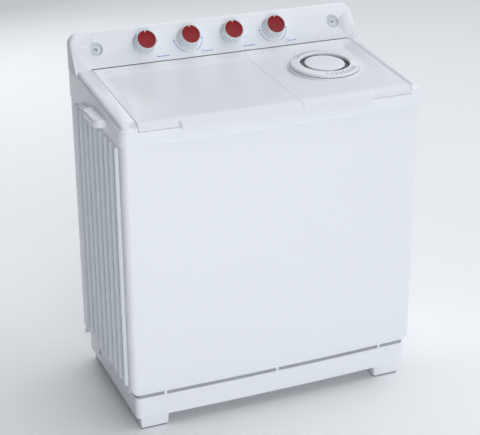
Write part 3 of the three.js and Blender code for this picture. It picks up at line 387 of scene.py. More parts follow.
def plate(outline, holes, low, high):
    """A flat plate with holes through it."""
    work = bmesh.new()
    loops = []
    for loop in [outline, *holes]:
        corners = [work.verts.new((u, v, low)) for u, v in loop]
        for i, corner in enumerate(corners):
            work.edges.new((corner, corners[(i + 1) % len(corners)]))
        loops.append([corner.co.copy() for corner in corners])
    bmesh.ops.triangle_fill(work, use_beauty=True, edges=work.edges[:])
    work.verts.index_update()
    points = [tuple(v.co) for v in work.verts]
    fill = [tuple(v.index for v in face.verts) for face in work.faces]
    work.free()
    count = len(points)
    faces = [*fill, *(tuple(i + count for i in face[::-1]) for face in fill)]
    first = 0
    for loop in loops:
        for i in range(len(loop)):
            a = first + i
            b = first + (i + 1) % len(loop)
            faces.append((a, b, b + count, a + count))
        first += len(loop)
    return points + [(x, y, high) for x, y, _ in points], faces


def swept(path, radius, sides=16):
    """A round tube along a path, with closed ends."""
    path = [Vector(p) for p in path]
    heading = (path[1] - path[0]).normalized()
    across = heading.orthogonal().normalized()
    rows = []
    for i, point in enumerate(path):
        ahead = path[min(i + 1, len(path) - 1)] - path[max(i - 1, 0)]
        ahead.normalize()
        across = (across - ahead * across.dot(ahead)).normalized()
        other = ahead.cross(across)
        turns = [TURN * s / sides for s in range(sides)]
        rows.append([point + radius * (across * cos(a) + other * sin(a)) for a in turns])
    points, faces = sheet(rows, loop=True)
    end = len(points) - sides
    return points, [*faces, tuple(range(sides)), tuple(range(end, end + sides))]


def real(piece):
    """The piece with its modifiers made part of its mesh."""
    graph = bpy.context.evaluated_depsgraph_get()
    mesh = bpy.data.meshes.new_from_object(piece.evaluated_get(graph))
    piece.modifiers.clear()
    piece.data = mesh
    return piece


def thicken(piece, wall):
    """Gives a sheet its wall, on the side that doesn't face out."""
    modifier = piece.modifiers.new("wall", "SOLIDIFY")
    modifier.thickness = wall
    modifier.offset = -1
    modifier.use_even_offset = True
    modifier.use_quality_normals = True
    return piece


def soften(piece, width, segments=3, angle=40, weighted=False):
    """Rounds the sharp edges, or the edges marked by weigh()."""
    modifier = piece.modifiers.new("soft edges", "BEVEL")
    modifier.width = width
    modifier.segments = segments
    modifier.limit_method = "WEIGHT" if weighted else "ANGLE"
    modifier.angle_limit = radians(angle)
    modifier.harden_normals = True
    modifier.miter_outer = "MITER_SHARP"
    return piece


def weigh(piece, weight_of):
    """Marks each edge with the share of the bevel that weight_of(middle, direction) gives it."""
    mesh = piece.data
    marks = mesh.attributes.new("bevel_weight_edge", "FLOAT", "EDGE")
    for edge in mesh.edges:
        a, b = (mesh.vertices[i].co for i in edge.vertices)
        marks.data[edge.index].value = weight_of((a + b) / 2, (b - a).normalized())
    return piece


def carve(piece, *tools):
    """Cuts the tools' solids out of the piece and removes them."""
    for tool in tools:
        cutter = tool.piece("cutter")
        modifier = piece.modifiers.new("cut", "BOOLEAN")
        modifier.object = cutter
        modifier.solver = "EXACT"
        real(piece)
        bpy.data.objects.remove(cutter)
    piece.data.set_sharp_from_angle(angle=radians(35))
    return piece


def mirrored(part):
    points, faces = part
    return [(-Vector(p).x, Vector(p).y, Vector(p).z) for p in points], [tuple(face)[::-1] for face in faces]


def settle(piece, finish, body="cabinet", replaces=()):
    """Gives a piece its finish, its body and the frame nodes it stands for."""
    piece.data.materials.clear()
    piece.data.materials.append(bpy.data.materials[finish])
    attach(piece, body)
    if replaces:
        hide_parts(*replaces)
    return piece


def shells():
    return bpy.context.scene.washer_shells


def controls():
    return bpy.context.scene.washer_controls


def colours():
    return bpy.context.scene.washer_colours


# ---- Shared surface effects ----


def group(name, inputs, outputs):
    """An empty node group with named sockets, and its input and output nodes."""
    tree = bpy.data.node_groups.new(name, "ShaderNodeTree")
    kinds = {"colour": "NodeSocketColor", "number": "NodeSocketFloat", "vector": "NodeSocketVector"}
    for socket, kind, default in inputs:
        made = tree.interface.new_socket(socket, in_out="INPUT", socket_type=kinds[kind])
        made.default_value = default
    for socket, kind in outputs:
        tree.interface.new_socket(socket, in_out="OUTPUT", socket_type=kinds[kind])
    return tree, tree.nodes.new("NodeGroupInput"), tree.nodes.new("NodeGroupOutput")


def wire(tree, node, **inputs):
    """Sets or links a node's inputs, given by socket name with _ for a space."""
    for key, value in inputs.items():
        socket = node.inputs[key.replace("_", " ")] if not key.startswith("in") else node.inputs[int(key[2:])]
        if isinstance(value, bpy.types.NodeSocket):
            tree.links.new(value, socket)
        else:
            socket.default_value = value
    return node


def noise(tree, vector, scale, detail=3.0, roughness=0.5):
    node = tree.nodes.new("ShaderNodeTexNoise")
    return wire(tree, node, Vector=vector, Scale=scale, Detail=detail, Roughness=roughness).outputs["Fac"]


def remap(tree, value, low, high, new_low=0.0, new_high=1.0):
    node = tree.nodes.new("ShaderNodeMapRange")
    wire(tree, node, Value=value, From_Min=low, From_Max=high, To_Min=new_low, To_Max=new_high)
    return node.outputs["Result"]


def maths(tree, operation, a, b=0.0):
    node = tree.nodes.new("ShaderNodeMath")
    node.operation = operation
    return wire(tree, node, in0=a, in1=b).outputs[0]


def mixed(tree, share, a, b):
    node = tree.nodes.new("ShaderNodeMix")
    node.data_type = "RGBA"
    for socket, value in ((node.inputs[0], share), (node.inputs[6], a), (node.inputs[7], b)):
        if isinstance(value, bpy.types.NodeSocket):
            tree.links.new(value, socket)
        else:
            socket.default_value = value
    return node.outputs[2]


def object_place(tree, stretch=(1, 1, 1)):
    """Object coordinates, stretched along an axis if asked."""
    place = tree.nodes.new("ShaderNodeTexCoord").outputs["Object"]
    node = tree.nodes.new("ShaderNodeMapping")
    return wire(tree, node, Vector=place, Scale=stretch).outputs["Vector"]


def make_moulded_skin():
    """Injection-moulded plastic: a fine leathery grain, slow shade changes and a patchy polish."""
    tree, given, out = group(
        "Moulded Skin",
        [
            ("Colour", "colour", (0.8, 0.8, 0.8, 1)),
            ("Shade", "colour", (0.7, 0.7, 0.7, 1)),
            ("Shade Amount", "number", 0.4),
            ("Polish", "number", 0.3),
            ("Polish Spread", "number", 0.08),
            ("Grain Scale", "number", 900.0),
        ],
        [("Colour", "colour"), ("Roughness", "number"), ("Grain", "number")],
    )
    place = object_place(tree)
    flow = maths(
        tree, "MULTIPLY", remap(tree, noise(tree, place, 2.6, 4), 0.35, 0.7), given.outputs["Shade Amount"]
    )
    tint = mixed(tree, flow, given.outputs["Colour"], given.outputs["Shade"])
    patch = remap(tree, noise(tree, place, 14.0, 5, 0.6), 0.3, 0.7, -1.0, 1.0)
    smear = remap(tree, noise(tree, object_place(tree, (1, 1, 0.25)), 60.0, 3), 0.35, 0.65, -0.4, 0.4)
    swing = maths(tree, "MULTIPLY", maths(tree, "ADD", patch, smear), given.outputs["Polish Spread"])
    polish = maths(tree, "ADD", swing, given.outputs["Polish"])
    grain = tree.nodes.new("ShaderNodeTexVoronoi")
    wire(tree, grain, Vector=place, Scale=given.outputs["Grain Scale"])
    fine = maths(tree, "ADD", grain.outputs["Distance"], noise(tree, place, 420.0, 2))
    wire(tree, out, Colour=tint, Roughness=polish, Grain=fine)


def make_edge_wear_and_painted_highlight():
    """A mask of rubbed edges and raised corners, broken up by noise. On the knob skirts it is also a painted
    highlight along the ridges.
    """
    tree, given, out = group("Edge Wear and Painted Highlight", [("Reach", "number", 0.5)], [("Mask", "number")])
    edge = tree.nodes.new("ShaderNodeNewGeometry").outputs["Pointiness"]
    sharp = remap(tree, edge, 0.51, 0.58)
    broken = remap(tree, noise(tree, object_place(tree), 90.0, 4), 0.35, 0.65)
    mask = maths(tree, "MULTIPLY", maths(tree, "MULTIPLY", sharp, broken), given.outputs["Reach"])
    wire(tree, out, Mask=mask)


def make_settled_dust():
    """A mask of dust on what faces up, thicker in patches."""
    tree, given, out = group("Settled Dust", [("Amount", "number", 0.2)], [("Mask", "number")])
    split = tree.nodes.new("ShaderNodeSeparateXYZ")
    tree.links.new(tree.nodes.new("ShaderNodeNewGeometry").outputs["Normal"], split.inputs[0])
    upward = remap(tree, split.outputs["Z"], 0.2, 0.95)
    patchy = remap(tree, noise(tree, object_place(tree), 35.0, 6, 0.65), 0.4, 0.75)
    mask = maths(tree, "MULTIPLY", maths(tree, "MULTIPLY", upward, patchy), given.outputs["Amount"])
    wire(tree, out, Mask=mask)


def make_drawn_metal():
    """Rolled or turned metal: fine lines along one axis, with smudges in the shine."""
    tree, given, out = group(
        "Drawn Metal",
        [
            ("Colour", "colour", (0.6, 0.6, 0.6, 1)),
            ("Shade", "colour", (0.4, 0.4, 0.4, 1)),
            ("Shine", "number", 0.3),
            ("Line Stretch", "vector", (1, 1, 0.03)),
        ],
        [("Colour", "colour"), ("Roughness", "number"), ("Lines", "number")],
    )
    place = tree.nodes.new("ShaderNodeTexCoord").outputs["Object"]
    stretch = tree.nodes.new("ShaderNodeVectorMath")
    stretch.operation = "MULTIPLY"
    wire(tree, stretch, in0=place, in1=given.outputs["Line Stretch"])
    lines = noise(tree, stretch.outputs[0], 700.0, 3)
    smudge = remap(tree, noise(tree, place, 22.0, 5, 0.6), 0.3, 0.7)
    tint = mixed(tree, remap(tree, lines, 0.35, 0.65), given.outputs["Colour"], given.outputs["Shade"])
    swing = maths(tree, "MULTIPLY", maths(tree, "ADD", smudge, lines), 0.14)
    polish = maths(tree, "ADD", given.outputs["Shine"], maths(tree, "SUBTRACT", swing, 0.14))
    wire(tree, out, Colour=tint, Roughness=polish, Lines=lines)


# ---- Finishes ----


def blank(name):
    """A new material with its tree and its shader.

    Known fault: the frame already holds a plain material under most of these names. The new one is
    then numbered, and settle() and dress_nodes() find the frame's, so the new one isn't shown.
    """
    material = bpy.data.materials.new(name)
    material.use_nodes = True
    return material, material.node_tree, material.node_tree.nodes["Principled BSDF"]


def place_group(tree, name, **values):
    node = tree.nodes.new("ShaderNodeGroup")
    node.node_tree = bpy.data.node_groups[name]
    return wire(tree, node, **values)


def bump(tree, shader, height, strength, distance):
    node = tree.nodes.new("ShaderNodeBump")
    wire(tree, node, Height=height, Strength=strength, Distance=distance)
    tree.links.new(node.outputs["Normal"], shader.inputs["Normal"])


def plastic(name, tone, polish, grain=0.1, shade=0.93, dust=0.05, wear=0.2, coat=0.0):
    """A moulded plastic finish."""
    material, tree, shader = blank(name)
    base = (*tone, 1)
    darker = (*(c * shade for c in tone), 1)
    skin = place_group(
        tree,
        "Moulded Skin",
        Colour=base,
        Shade=darker,
        Polish=polish,
        Polish_Spread=0.05,
        Grain_Scale=900.0,
    )
    wear_and_painted_highlight = place_group(tree, "Edge Wear and Painted Highlight", Reach=wear)
    dusty = place_group(tree, "Settled Dust", Amount=dust)
    lighter = (*(min(1.0, c * 1.08 + 0.02) for c in tone), 1)
    tint = mixed(tree, wear_and_painted_highlight.outputs["Mask"], skin.outputs["Colour"], lighter)
    tint = mixed(tree, dusty.outputs["Mask"], tint, (0.55, 0.53, 0.50, 1))
    rough = maths(tree, "ADD", skin.outputs["Roughness"], dusty.outputs["Mask"])
    wire(tree, shader, Base_Color=tint, Roughness=rough)
    shader.inputs["IOR"].default_value = 1.5
    shader.inputs["Coat Weight"].default_value = coat
    shader.inputs["Coat Roughness"].default_value = 0.06
    bump(tree, shader, skin.outputs["Grain"], grain, 0.00012)
    return material


def metal(name, tone, shine, shade=0.8, stretch=(1, 1, 0.03), lines=0.15, dust=0.05):
    """A bare metal finish."""
    _, tree, shader = blank(name)
    drawn = place_group(
        tree,
        "Drawn Metal",
        Colour=(*tone, 1),
        Shade=(*(c * shade for c in tone), 1),
        Shine=shine,
        Line_Stretch=stretch,
    )
    dusty = place_group(tree, "Settled Dust", Amount=dust)
    tint = mixed(tree, dusty.outputs["Mask"], drawn.outputs["Colour"], (0.35, 0.33, 0.31, 1))
    rough = maths(tree, "ADD", drawn.outputs["Roughness"], dusty.outputs["Mask"])
    bare = remap(tree, dusty.outputs["Mask"], 0.0, 1.0, 1.0, 0.2)
    wire(tree, shader, Base_Color=tint, Roughness=rough, Metallic=bare)
    bump(tree, shader, drawn.outputs["Lines"], lines, 0.00008)


def speckled(name, tone, rough, scale, depth, metallic=0.0):
    """Cast, rubbery or painted: a pitted surface with dark hollows."""
    _, tree, shader = blank(name)
    place = object_place(tree)
    pits = noise(tree, place, scale, 6, 0.6)
    hollow = remap(tree, pits, 0.35, 0.6, 0.6, 1.0)
    tint = mixed(tree, hollow, (*(c * 0.6 for c in tone), 1), (*tone, 1))
    dusty = place_group(tree, "Settled Dust", Amount=0.22)
    tint = mixed(tree, dusty.outputs["Mask"], tint, (0.40, 0.38, 0.35, 1))
    polish = remap(tree, noise(tree, place, 30.0, 4), 0.3, 0.7, rough - 0.07, rough + 0.07)
    wire(tree, shader, Base_Color=tint, Roughness=polish)
    shader.inputs["Metallic"].default_value = metallic
    bump(tree, shader, pits, 0.35, depth)


def make_knob_cap_finish():
    """Glossy lacquer over faint turned rings."""
    tone = tuple(colours().cap)
    material = plastic("knob_red", tone, 0.3, grain=0.03, shade=0.8, dust=0.0, wear=0.05, coat=0.12)
    tree = material.node_tree
    shader = tree.nodes["Principled BSDF"]
    shader.inputs["Specular IOR Level"].default_value = 0.3
    wave = tree.nodes.new("ShaderNodeTexWave")
    wave.wave_type = "RINGS"
    wave.rings_direction = "SPHERICAL"
    place = tree.nodes.new("ShaderNodeTexCoord").outputs["Generated"]
    centred = tree.nodes.new("ShaderNodeMapping")
    wire(tree, centred, Vector=place, Location=(-0.5, -0.5, -0.5))
    wire(tree, wave, Vector=centred.outputs["Vector"], Scale=28.0, Distortion=0.2)
    rings = remap(tree, wave.outputs["Fac"], 0.0, 1.0, 0.24, 0.36)
    tree.links.new(rings, shader.inputs["Roughness"])
    bump(tree, shader, wave.outputs["Fac"], 0.08, 0.0001)


def make_knob_skirt_finish():
    """Bright plated plastic, milky between the flutes: near white and less metallic on the ridges, partly rubbed
    plating and partly a painted highlight.
    """
    _, tree, shader = blank("knob_silver")
    skin = place_group(
        tree, "Drawn Metal", Colour=(0.82, 0.84, 0.88, 1), Shade=(0.66, 0.69, 0.74, 1), Shine=0.14
    )
    wear_and_painted_highlight = place_group(tree, "Edge Wear and Painted Highlight", Reach=0.5)
    # near white and less metallic on the sharp ridges: partly rubbed plating, partly a painted highlight
    tint = mixed(tree, wear_and_painted_highlight.outputs["Mask"], skin.outputs["Colour"], (0.97, 0.98, 1.0, 1))
    plated = remap(tree, wear_and_painted_highlight.outputs["Mask"], 0.0, 0.5, 0.92, 0.5)
    wire(tree, shader, Base_Color=tint, Roughness=skin.outputs["Roughness"], Metallic=plated)
    shader.inputs["Coat Weight"].default_value = 0.5
    bump(tree, shader, skin.outputs["Lines"], 0.05, 0.0001)


def make_print_finish():
    """Screen print: slightly broken ink."""
    _, tree, shader = blank("print_blue")
    ink = noise(tree, object_place(tree), 1600.0, 3)
    faded = remap(tree, ink, 0.35, 0.65, 0.0, 0.35)
    tone = tuple(colours().print)
    tint = mixed(tree, faded, (*tone, 1), (*(c * 0.5 + 0.45 for c in tone), 1))
    wire(tree, shader, Base_Color=tint, Roughness=remap(tree, ink, 0.3, 0.7, 0.4, 0.55))


def make_finishes():
    """Every finish. Of the object's, only knob_red and print_blue reach the pieces: see blank()."""
    look = colours()
    plastic("white_shell", tuple(look.shell), 0.30, grain=0.10, coat=0.25)
    # side_shell is darker than white_shell as painted shade of the sides
    plastic("side_shell", tuple(look.side), 0.36, grain=0.16, coat=0.12)
    # lid_plastic's dark tone is painted shade of the lids' tops
    plastic("lid_plastic", tuple(look.lid), 0.2, grain=0.05, dust=0.03, coat=0.25)
    plastic("tub_plastic", tuple(look.tub), 0.42, grain=0.22, shade=0.9, dust=0.12)
    plastic("grey_plastic", (0.33, 0.37, 0.41), 0.45, grain=0.2, shade=0.8, dust=0.2)
    plastic("dark_plastic", (0.035, 0.038, 0.045), 0.5, grain=0.25, shade=0.7, dust=0.2)
    plastic("blue_plastic", tuple(look.agitator), 0.36, grain=0.15, shade=0.85, dust=0.05)
    metal("bright_steel", (0.62, 0.63, 0.65), 0.3)
    metal("basket_steel", (0.66, 0.67, 0.69), 0.28, stretch=(0.03, 0.03, 1), lines=0.1)
    metal("zinc_sheet", (0.52, 0.55, 0.57), 0.42, shade=0.7, stretch=(0.4, 0.4, 0.4), lines=0.25, dust=0.15)
    metal("cast_aluminium", (0.5, 0.51, 0.53), 0.5, shade=0.75, stretch=(0.5, 0.5, 0.5), lines=0.5, dust=0.2)
    speckled("motor_iron", (0.07, 0.075, 0.085), 0.5, 160.0, 0.0003, metallic=0.4)
    speckled("black_rubber", (0.02, 0.02, 0.022), 0.75, 260.0, 0.0004)
    make_knob_cap_finish()
    make_knob_skirt_finish()
    make_print_finish()


# ---- Front, sides and back ----


def front_path(half, front, corner, wrap):
    """(x, y, outward x, outward y) along the front, from the left side round to the right."""
    inner = half - corner
    middle = bowed(inner, front, half) + corner
    left = [
        (u, v, (u + inner) / corner, (v - middle) / corner)
        for u, v in bend(-inner, middle, corner, 180, 270, 8)
    ]
    bow = []
    for x in spread(-inner, inner, 29)[1:-1]:
        lean = 2 * BOW * x / half**2
        size = hypot(lean, 1)
        bow.append((x, bowed(x, front, half), lean / size, -1 / size))
    right = [(-x, y, -nx, ny) for x, y, nx, ny in reversed(left)]
    return [(-half, wrap, -1, 0), *left, *bow, *right, (half, wrap, 1, 0)]


def corner_rise(x):
    """How far a lower edge climbs around the front's rounded corners."""
    into = clamp((abs(x) - (HALF - CORNER)) / CORNER) * CORNER
    return CORNER - sqrt(max(0.0, CORNER**2 - into**2))


def make_front_panel():
    edge = shells().edge
    lip = 8 * MM
    path = front_path(HALF, FRONT, CORNER, FRONT + CORNER + 3 * MM)
    low = [(0.5 * MM, 5 * MM), (0, 3 * MM), (0, edge * 0.6), (edge * 0.4, 0), (edge, -0.5 * MM)]
    low += [
        (lip, -0.5 * MM), (lip + 0.5 * MM, 0.2 * MM), (lip + 1.2 * MM, 0.8 * MM), (lip + 2 * MM, 0.4 * MM)
    ]
    low += [(lip + 3.5 * MM, 0), (40 * MM, 0)]
    rows = []
    for rise, inset in low:
        rows.append(
            [(x - nx * inset, y - ny * inset, PANEL_FOOT + corner_rise(x) + rise) for x, y, nx, ny in path]
        )
    for z in spread(PANEL_FOOT + 90 * MM, PANEL_HIGH.z - edge, 10):
        rows.append([(x, y, z) for x, y, _, _ in path])
    for height, inset in [(0, edge * 0.4), (0, edge), (0, 6 * MM)]:
        z = PANEL_HIGH.z - height
        rows.append([(x - nx * inset, y - ny * inset, z) for x, y, nx, ny in path])
    piece = Stock().add(sheet(rows)).piece("front_panel_shell", sharp=50, solid=False)
    settle(thicken(piece, shells().panel_wall), "white_shell", replaces=["front_panel"])


def flute_height(y, z, places, low, high):
    """How far the side stands out at a point, over its upright flutes."""
    size = shells()
    reach = size.flute_width / 2
    nearest = min(places, key=lambda place: abs(place - y))
    past = max(low + reach - z, z - (high - reach), 0)
    away = hypot(y - nearest, past) / reach
    return size.flute_height * (1 - away**3) ** 0.9 if away < 1 else 0.0


def side_sheet():
    """The left side: flutes, a rounded back corner with its return, and a lower back corner cut round."""
    size = shells()
    start = FRONT + CORNER + 3 * MM
    front = start + TOUCH
    low, high = PANEL_FOOT + 18 * MM, PANEL_HEAD - 4 * MM
    count = int((BACK - start - size.flute_width - 50 * MM) / size.flute_pitch) + 1
    places = [start + size.flute_width + i * size.flute_pitch for i in range(count)]
    reach = size.flute_width / 2
    steps = (-1.04, -1, -0.93, -0.8, -0.6, -0.35, 0, 0.35, 0.6, 0.8, 0.93, 1, 1.04)
    depths = [front + 0.6 * MM, *(place + reach * s for place in places for s in steps)]
    radius = 6 * MM
    path = [(-HALF + 4 * MM, front), (-HALF + 0.8 * MM, front), *((-HALF, y) for y in depths)]
    path += [
        (-HALF, BACK - 30 * MM),
        *bend(-HALF + radius, BACK - radius, radius, 180, 90, 6),
        (-HALF + 20 * MM, BACK),
    ]
    ends = (0, 0.3, 0.55, 0.75, 0.9, 0.97, 1, 1.05)
    heights = [PANEL_FOOT + 2 * MM, PANEL_FOOT + 8 * MM, *(low + reach * (1 - s) for s in reversed(ends))]
    heights += spread(low + 60 * MM, high - 60 * MM, 7)
    heights += [high - reach * (1 - s) for s in ends]
    cut = 14 * MM
    rows = []
    for i, z in enumerate(
        [PANEL_FOOT, PANEL_FOOT + 0.5 * MM, *heights, PANEL_HIGH.z - 0.5 * MM, PANEL_HIGH.z]
    ):
        row = []
        for x, y in path:
            over = clamp((y - (BACK - cut)) / cut) * cut
            floor = PANEL_FOOT + cut - sqrt(max(0.0, cut**2 - over**2))
            out = flute_height(y, z, places, low, high) if x == -HALF else 0.0
            inset = 1 * MM if z in (PANEL_FOOT, PANEL_HIGH.z) else 0.0
            row.append((x - out + inset, y, max(z, floor)))
        rows.append(row)
    return sheet(rows)


def make_side_panels():
    for side, part in (("left", side_sheet()), ("right", mirrored(side_sheet()))):
        facing = (-1, 0, 0) if side == "left" else (1, 0, 0)
        piece = Stock().add(part).piece(f"fluted_side_{side}", sharp=60, solid=False, facing=facing)
        settle(thicken(piece, shells().panel_wall), "side_shell", replaces=[f"side_panel_{side}"])


def cross_head(radius, height):
    """A pan-head screw standing on Z = 0, with a raised cross on its crown."""
    dome = [(radius * cos(a), height * sin(a)) for a in spread(0, pi / 2, 7)[:-1]]
    stock = Stock().add(turned([(0.0, -1 * MM), (radius, -1 * MM), *dome, (0.0, height)], 24))
    long, thin = radius * 0.62, radius * 0.14
    for u, v in ((long, thin), (thin, long)):
        stock.add(block(-u, u, -v, v, height * 0.98, height * 1.04))
    return stock.points, stock.faces


BACKWARD = Matrix.Rotation(-pi / 2, 4, "X")  # turns Z to face the back


def make_rear():
    """The back sheet with its pressed border, and the louvred service cover with its screws."""
    edge = HALF - 20 * MM - TOUCH
    low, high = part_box("service_cover")
    outline = [(-edge, PANEL_FOOT), (edge, PANEL_FOOT), (edge, PANEL_HIGH.z), (-edge, PANEL_HIGH.z)]
    border = 15 * MM
    opening = rounded(low.x + border, high.x - border, low.z + border, high.z - border, 8 * MM)
    back = Stock().add(upright(plate(outline, [opening], BACK - 2 * MM, BACK)))
    for z in spread(high.z + 40 * MM, PANEL_HIGH.z - 50 * MM, 3):
        bead = capsule(-edge + 60 * MM, edge - 60 * MM, z, 7 * MM)
        inner = capsule(-edge + 62 * MM, edge - 62 * MM, z, 5 * MM)
        rows = [[(u, BACK, v) for u, v in bead], [(u, BACK + 1.6 * MM, v) for u, v in inner]]
        back.add(capped(rows, loop=True))
    piece = back.piece("rear_sheet")
    settle(soften(piece, 0.4 * MM, 2), "side_shell", replaces=["rear_panel"])
    cover_y = BACK + TOUCH
    pan_out = high.y
    steps = [
        (0, cover_y),
        (16 * MM, cover_y),
        (18.5 * MM, cover_y + 2 * MM),
        (22 * MM, pan_out - 2 * MM),
        (25 * MM, pan_out),
    ]
    rows = []
    for inset, y in steps:
        outline = rounded(
            low.x + inset, high.x - inset, low.z + inset, high.z - inset, max(20 * MM - inset * 0.4, 6 * MM)
        )
        rows.append([(u, y, v) for u, v in outline])
    piece = Stock().add(capped(rows, loop=True)).piece("louvred_cover", solid=False, facing=(0, 1, 0))
    real(thicken(piece, 0.9 * MM))
    slots = Stock()
    louvres = [low.z + 63 * MM + i * 16 * MM for i in range(6)]
    for z in louvres:
        slots.add(along_y(capsule(-90 * MM, 90 * MM, z, 3 * MM), pan_out - 4 * MM, pan_out + 4 * MM))
    carve(piece, slots)
    settle(soften(piece, 0.5 * MM, 2), "zinc_sheet", replaces=["service_cover"])
    hoods = Stock()
    for z in louvres:
        rows = []
        for a in spread(0, 80, 5):
            lift = 4.2 * MM * sin(radians(a))
            drop = 6 * MM * (1 - cos(radians(a)))
            outline = spread(-88 * MM, 88 * MM, 9)
            taper = [1 - max(0.0, abs(x) / (88 * MM) - 0.85) / 0.15 for x in outline]
            rows.append(
                [(x, pan_out - 4.4 * MM + lift * t, z + 3.4 * MM - drop) for x, t in zip(outline, taper)]
            )
        hoods.add(sheet(rows))
    piece = hoods.piece("cover_louvres", solid=False, facing=(0, 1, 0))
    settle(thicken(piece, 0.7 * MM), "zinc_sheet")
    screws = Stock()
    for x in (low.x + 8 * MM, 0, high.x - 8 * MM):
        for z in (low.z + 8 * MM, high.z - 8 * MM):
            screws.add(cross_head(4 * MM, 2.2 * MM), at(x, cover_y + 0.9 * MM, z) @ BACKWARD)
    settle(screws.piece("cover_screws"), "bright_steel")


# ---- Base ----


def ring_path(half, front, rear, corner, rear_corner):
    """(x, y, outward x, outward y) all the way round, starting at the back of the left side."""
    path = front_path(half, front, corner, rear - rear_corner)
    back = bend(half - rear_corner, rear - rear_corner, rear_corner, 0, 90, 4)
    right = [
        (x, y, (x - half + rear_corner) / rear_corner, (y - rear + rear_corner) / rear_corner)
        for x, y in back
    ]
    left = [(-x, y, -nx, ny) for x, y, nx, ny in reversed(right)]
    sides = [(half, y, 1, 0) for y in spread(front + corner + 4 * MM, rear - rear_corner - 4 * MM, 9)]
    others = [(-x, y, -nx, ny) for x, y, nx, ny in reversed(sides)]
    return [*others, *path[1:-1], *sides, *right[1:], *left[:-1]]


def make_base():
    """The plinth with its upstand and ribs, and the four feet."""
    half, front = PLINTH_HIGH.x, PLINTH_LOW.y + BOW
    rear = PLINTH_HIGH.y
    foot, top = PLINTH_LOW.z, PANEL_FOOT - 14 * MM
    path = ring_path(half, front, rear, 16 * MM, 8 * MM)
    steps = [(26, 7), (5, 6.6), (1.4, 6), (0.3, 4.8), (0, 3.2), (0, 1.2), (0.4, 0.4), (1.6, 0), (4, 0)]
    rows = [[(x - nx * b * MM, y - ny * b * MM, foot + a * MM) for x, y, nx, ny in path] for a, b in steps]
    for drop, inset in (
        (20, 0), (3, 0), (1.2, 0.3), (0.3, 1.2), (0, 3), (0, 15.6), (-0.4, 16), (-20, 16), (-34, 16)
    ):
        rows.append([(x - nx * inset * MM, y - ny * inset * MM, top - drop * MM) for x, y, nx, ny in path])
    stock = Stock().add(sheet(rows, loop=True))
    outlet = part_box("drain_outlet")
    piece = stock.piece("plinth_skirt", sharp=50, solid=False)
    real(thicken(piece, 2.4 * MM))
    notch = rounded(
        outlet[0].y - TOUCH, outlet[1].y + TOUCH, outlet[0].z - TOUCH, outlet[1].z + TOUCH, 10 * MM
    )
    carve(piece, Stock().add(along_x(notch, -half - 5 * MM, -half + 10 * MM)))
    settle(piece, "white_shell", replaces=["base_plinth"])
    inner = [(x - nx * 2.6 * MM, y - ny * 2.6 * MM) for x, y, nx, ny in path]
    vent = rounded(TUB_LOW.x + 115 * MM, TUB_HIGH.x - 43 * MM, -110 * MM, 60 * MM, 30 * MM)
    tray = Stock().add(plate(inner, [vent], foot + 12 * MM, foot + 15 * MM))
    for x in spread(-half + 90 * MM, half - 90 * MM, 7):
        tray.add(
            block(x - 1.2 * MM, x + 1.2 * MM, front + 20 * MM, -116 * MM, foot + 3 * MM, foot + 12.5 * MM)
        )
    settle(tray.piece("plinth_tray"), "white_shell")
    ribs = Stock()
    for share in (-0.77, 0.01, 0.77):
        x = share * HALF
        face = bowed(x, front, half)
        ribs.add(
            block(x - 4 * MM, x + 4 * MM, face + 1.6 * MM, face + 17 * MM, top - 1 * MM, PANEL_FOOT - TOUCH)
        )
    settle(soften(ribs.piece("plinth_ribs"), 1 * MM, 3), "white_shell")
    for place in ("front_left", "front_right", "rear_left", "rear_right"):
        make_foot(place)


def make_foot(place):
    """A tapering moulded foot on a rubber sole."""
    low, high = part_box(f"foot_{place}")
    draft = 1.5 * MM
    pad = 3 * MM
    rows = []
    for z, inset in ((high.z, 0), (high.z - 6 * MM, 0), (pad + 2 * MM, draft), (pad, draft + 0.8 * MM)):
        rows.append([(u, v, z) for u, v in inside(low, high, inset, 5 * MM)])
    points, faces = capped(rows, loop=True)
    faces.append(tuple(range(len(rows[0]))))
    block_piece = Stock().add((points, faces)).piece(f"{place}_foot_block", sharp=50)
    settle(soften(block_piece, 1.2 * MM, 3), "white_shell", replaces=[f"foot_{place}"])
    inset = draft + 2.5 * MM
    sole = Stock().add(prism(inside(low, high, inset, 4 * MM), low.z, pad + 1 * MM))
    settle(soften(sole.piece(f"{place}_foot_sole"), 0.8 * MM, 2), "black_rubber")


# ---- Top frame ----


def skirt_top(y):
    """Height of the frame's upright skin: the lids' seam in front, the ledge under the rims at the sides."""
    ledge = min(lid_top(y) - shells().rim_edge, CONSOLE_LOW.z - TOUCH)
    return SEAM + (ledge - SEAM) * smooth((y - (FRONT + 2 * MM)) / (CORNER + 6 * MM))


def make_frame_skirt():
    front = FRONT - PROUD
    rear = RIM_HIGH.y
    path = ring_path(RIM_HALF, front, rear, CORNER + PROUD, 7 * MM)
    foot = PANEL_HEAD
    rows = []
    for rise, inset in (
        (3, 3.2), (0.3, 3.2), (0, 2.6), (0, 0.8), (0.5, 0.2), (1.3, -0.1), (10, -0.25), (20, -0.1)
    ):
        shift = [
            inset * MM if inset > 0 else inset * MM * smooth((FRONT + 30 * MM - y) / (20 * MM))
            for _, y, _, _ in path
        ]
        rows.append([(x - nx * s, y - ny * s, foot + rise * MM) for (x, y, nx, ny), s in zip(path, shift)])
    for drop, inset in ((3, 0), (1.2, 0.1), (0.4, 0.4), (0, 1.2), (0, 3.6), (0.5, 4.3), (12, 4.4)):
        rows.append(
            [(x - nx * inset * MM, y - ny * inset * MM, skirt_top(y) - drop * MM) for x, y, nx, ny in path]
        )
    piece = Stock().add(sheet(rows, loop=True)).piece("frame_skirt", sharp=50, solid=False)
    settle(thicken(piece, 2.2 * MM), "white_shell", replaces=["top_frame"])


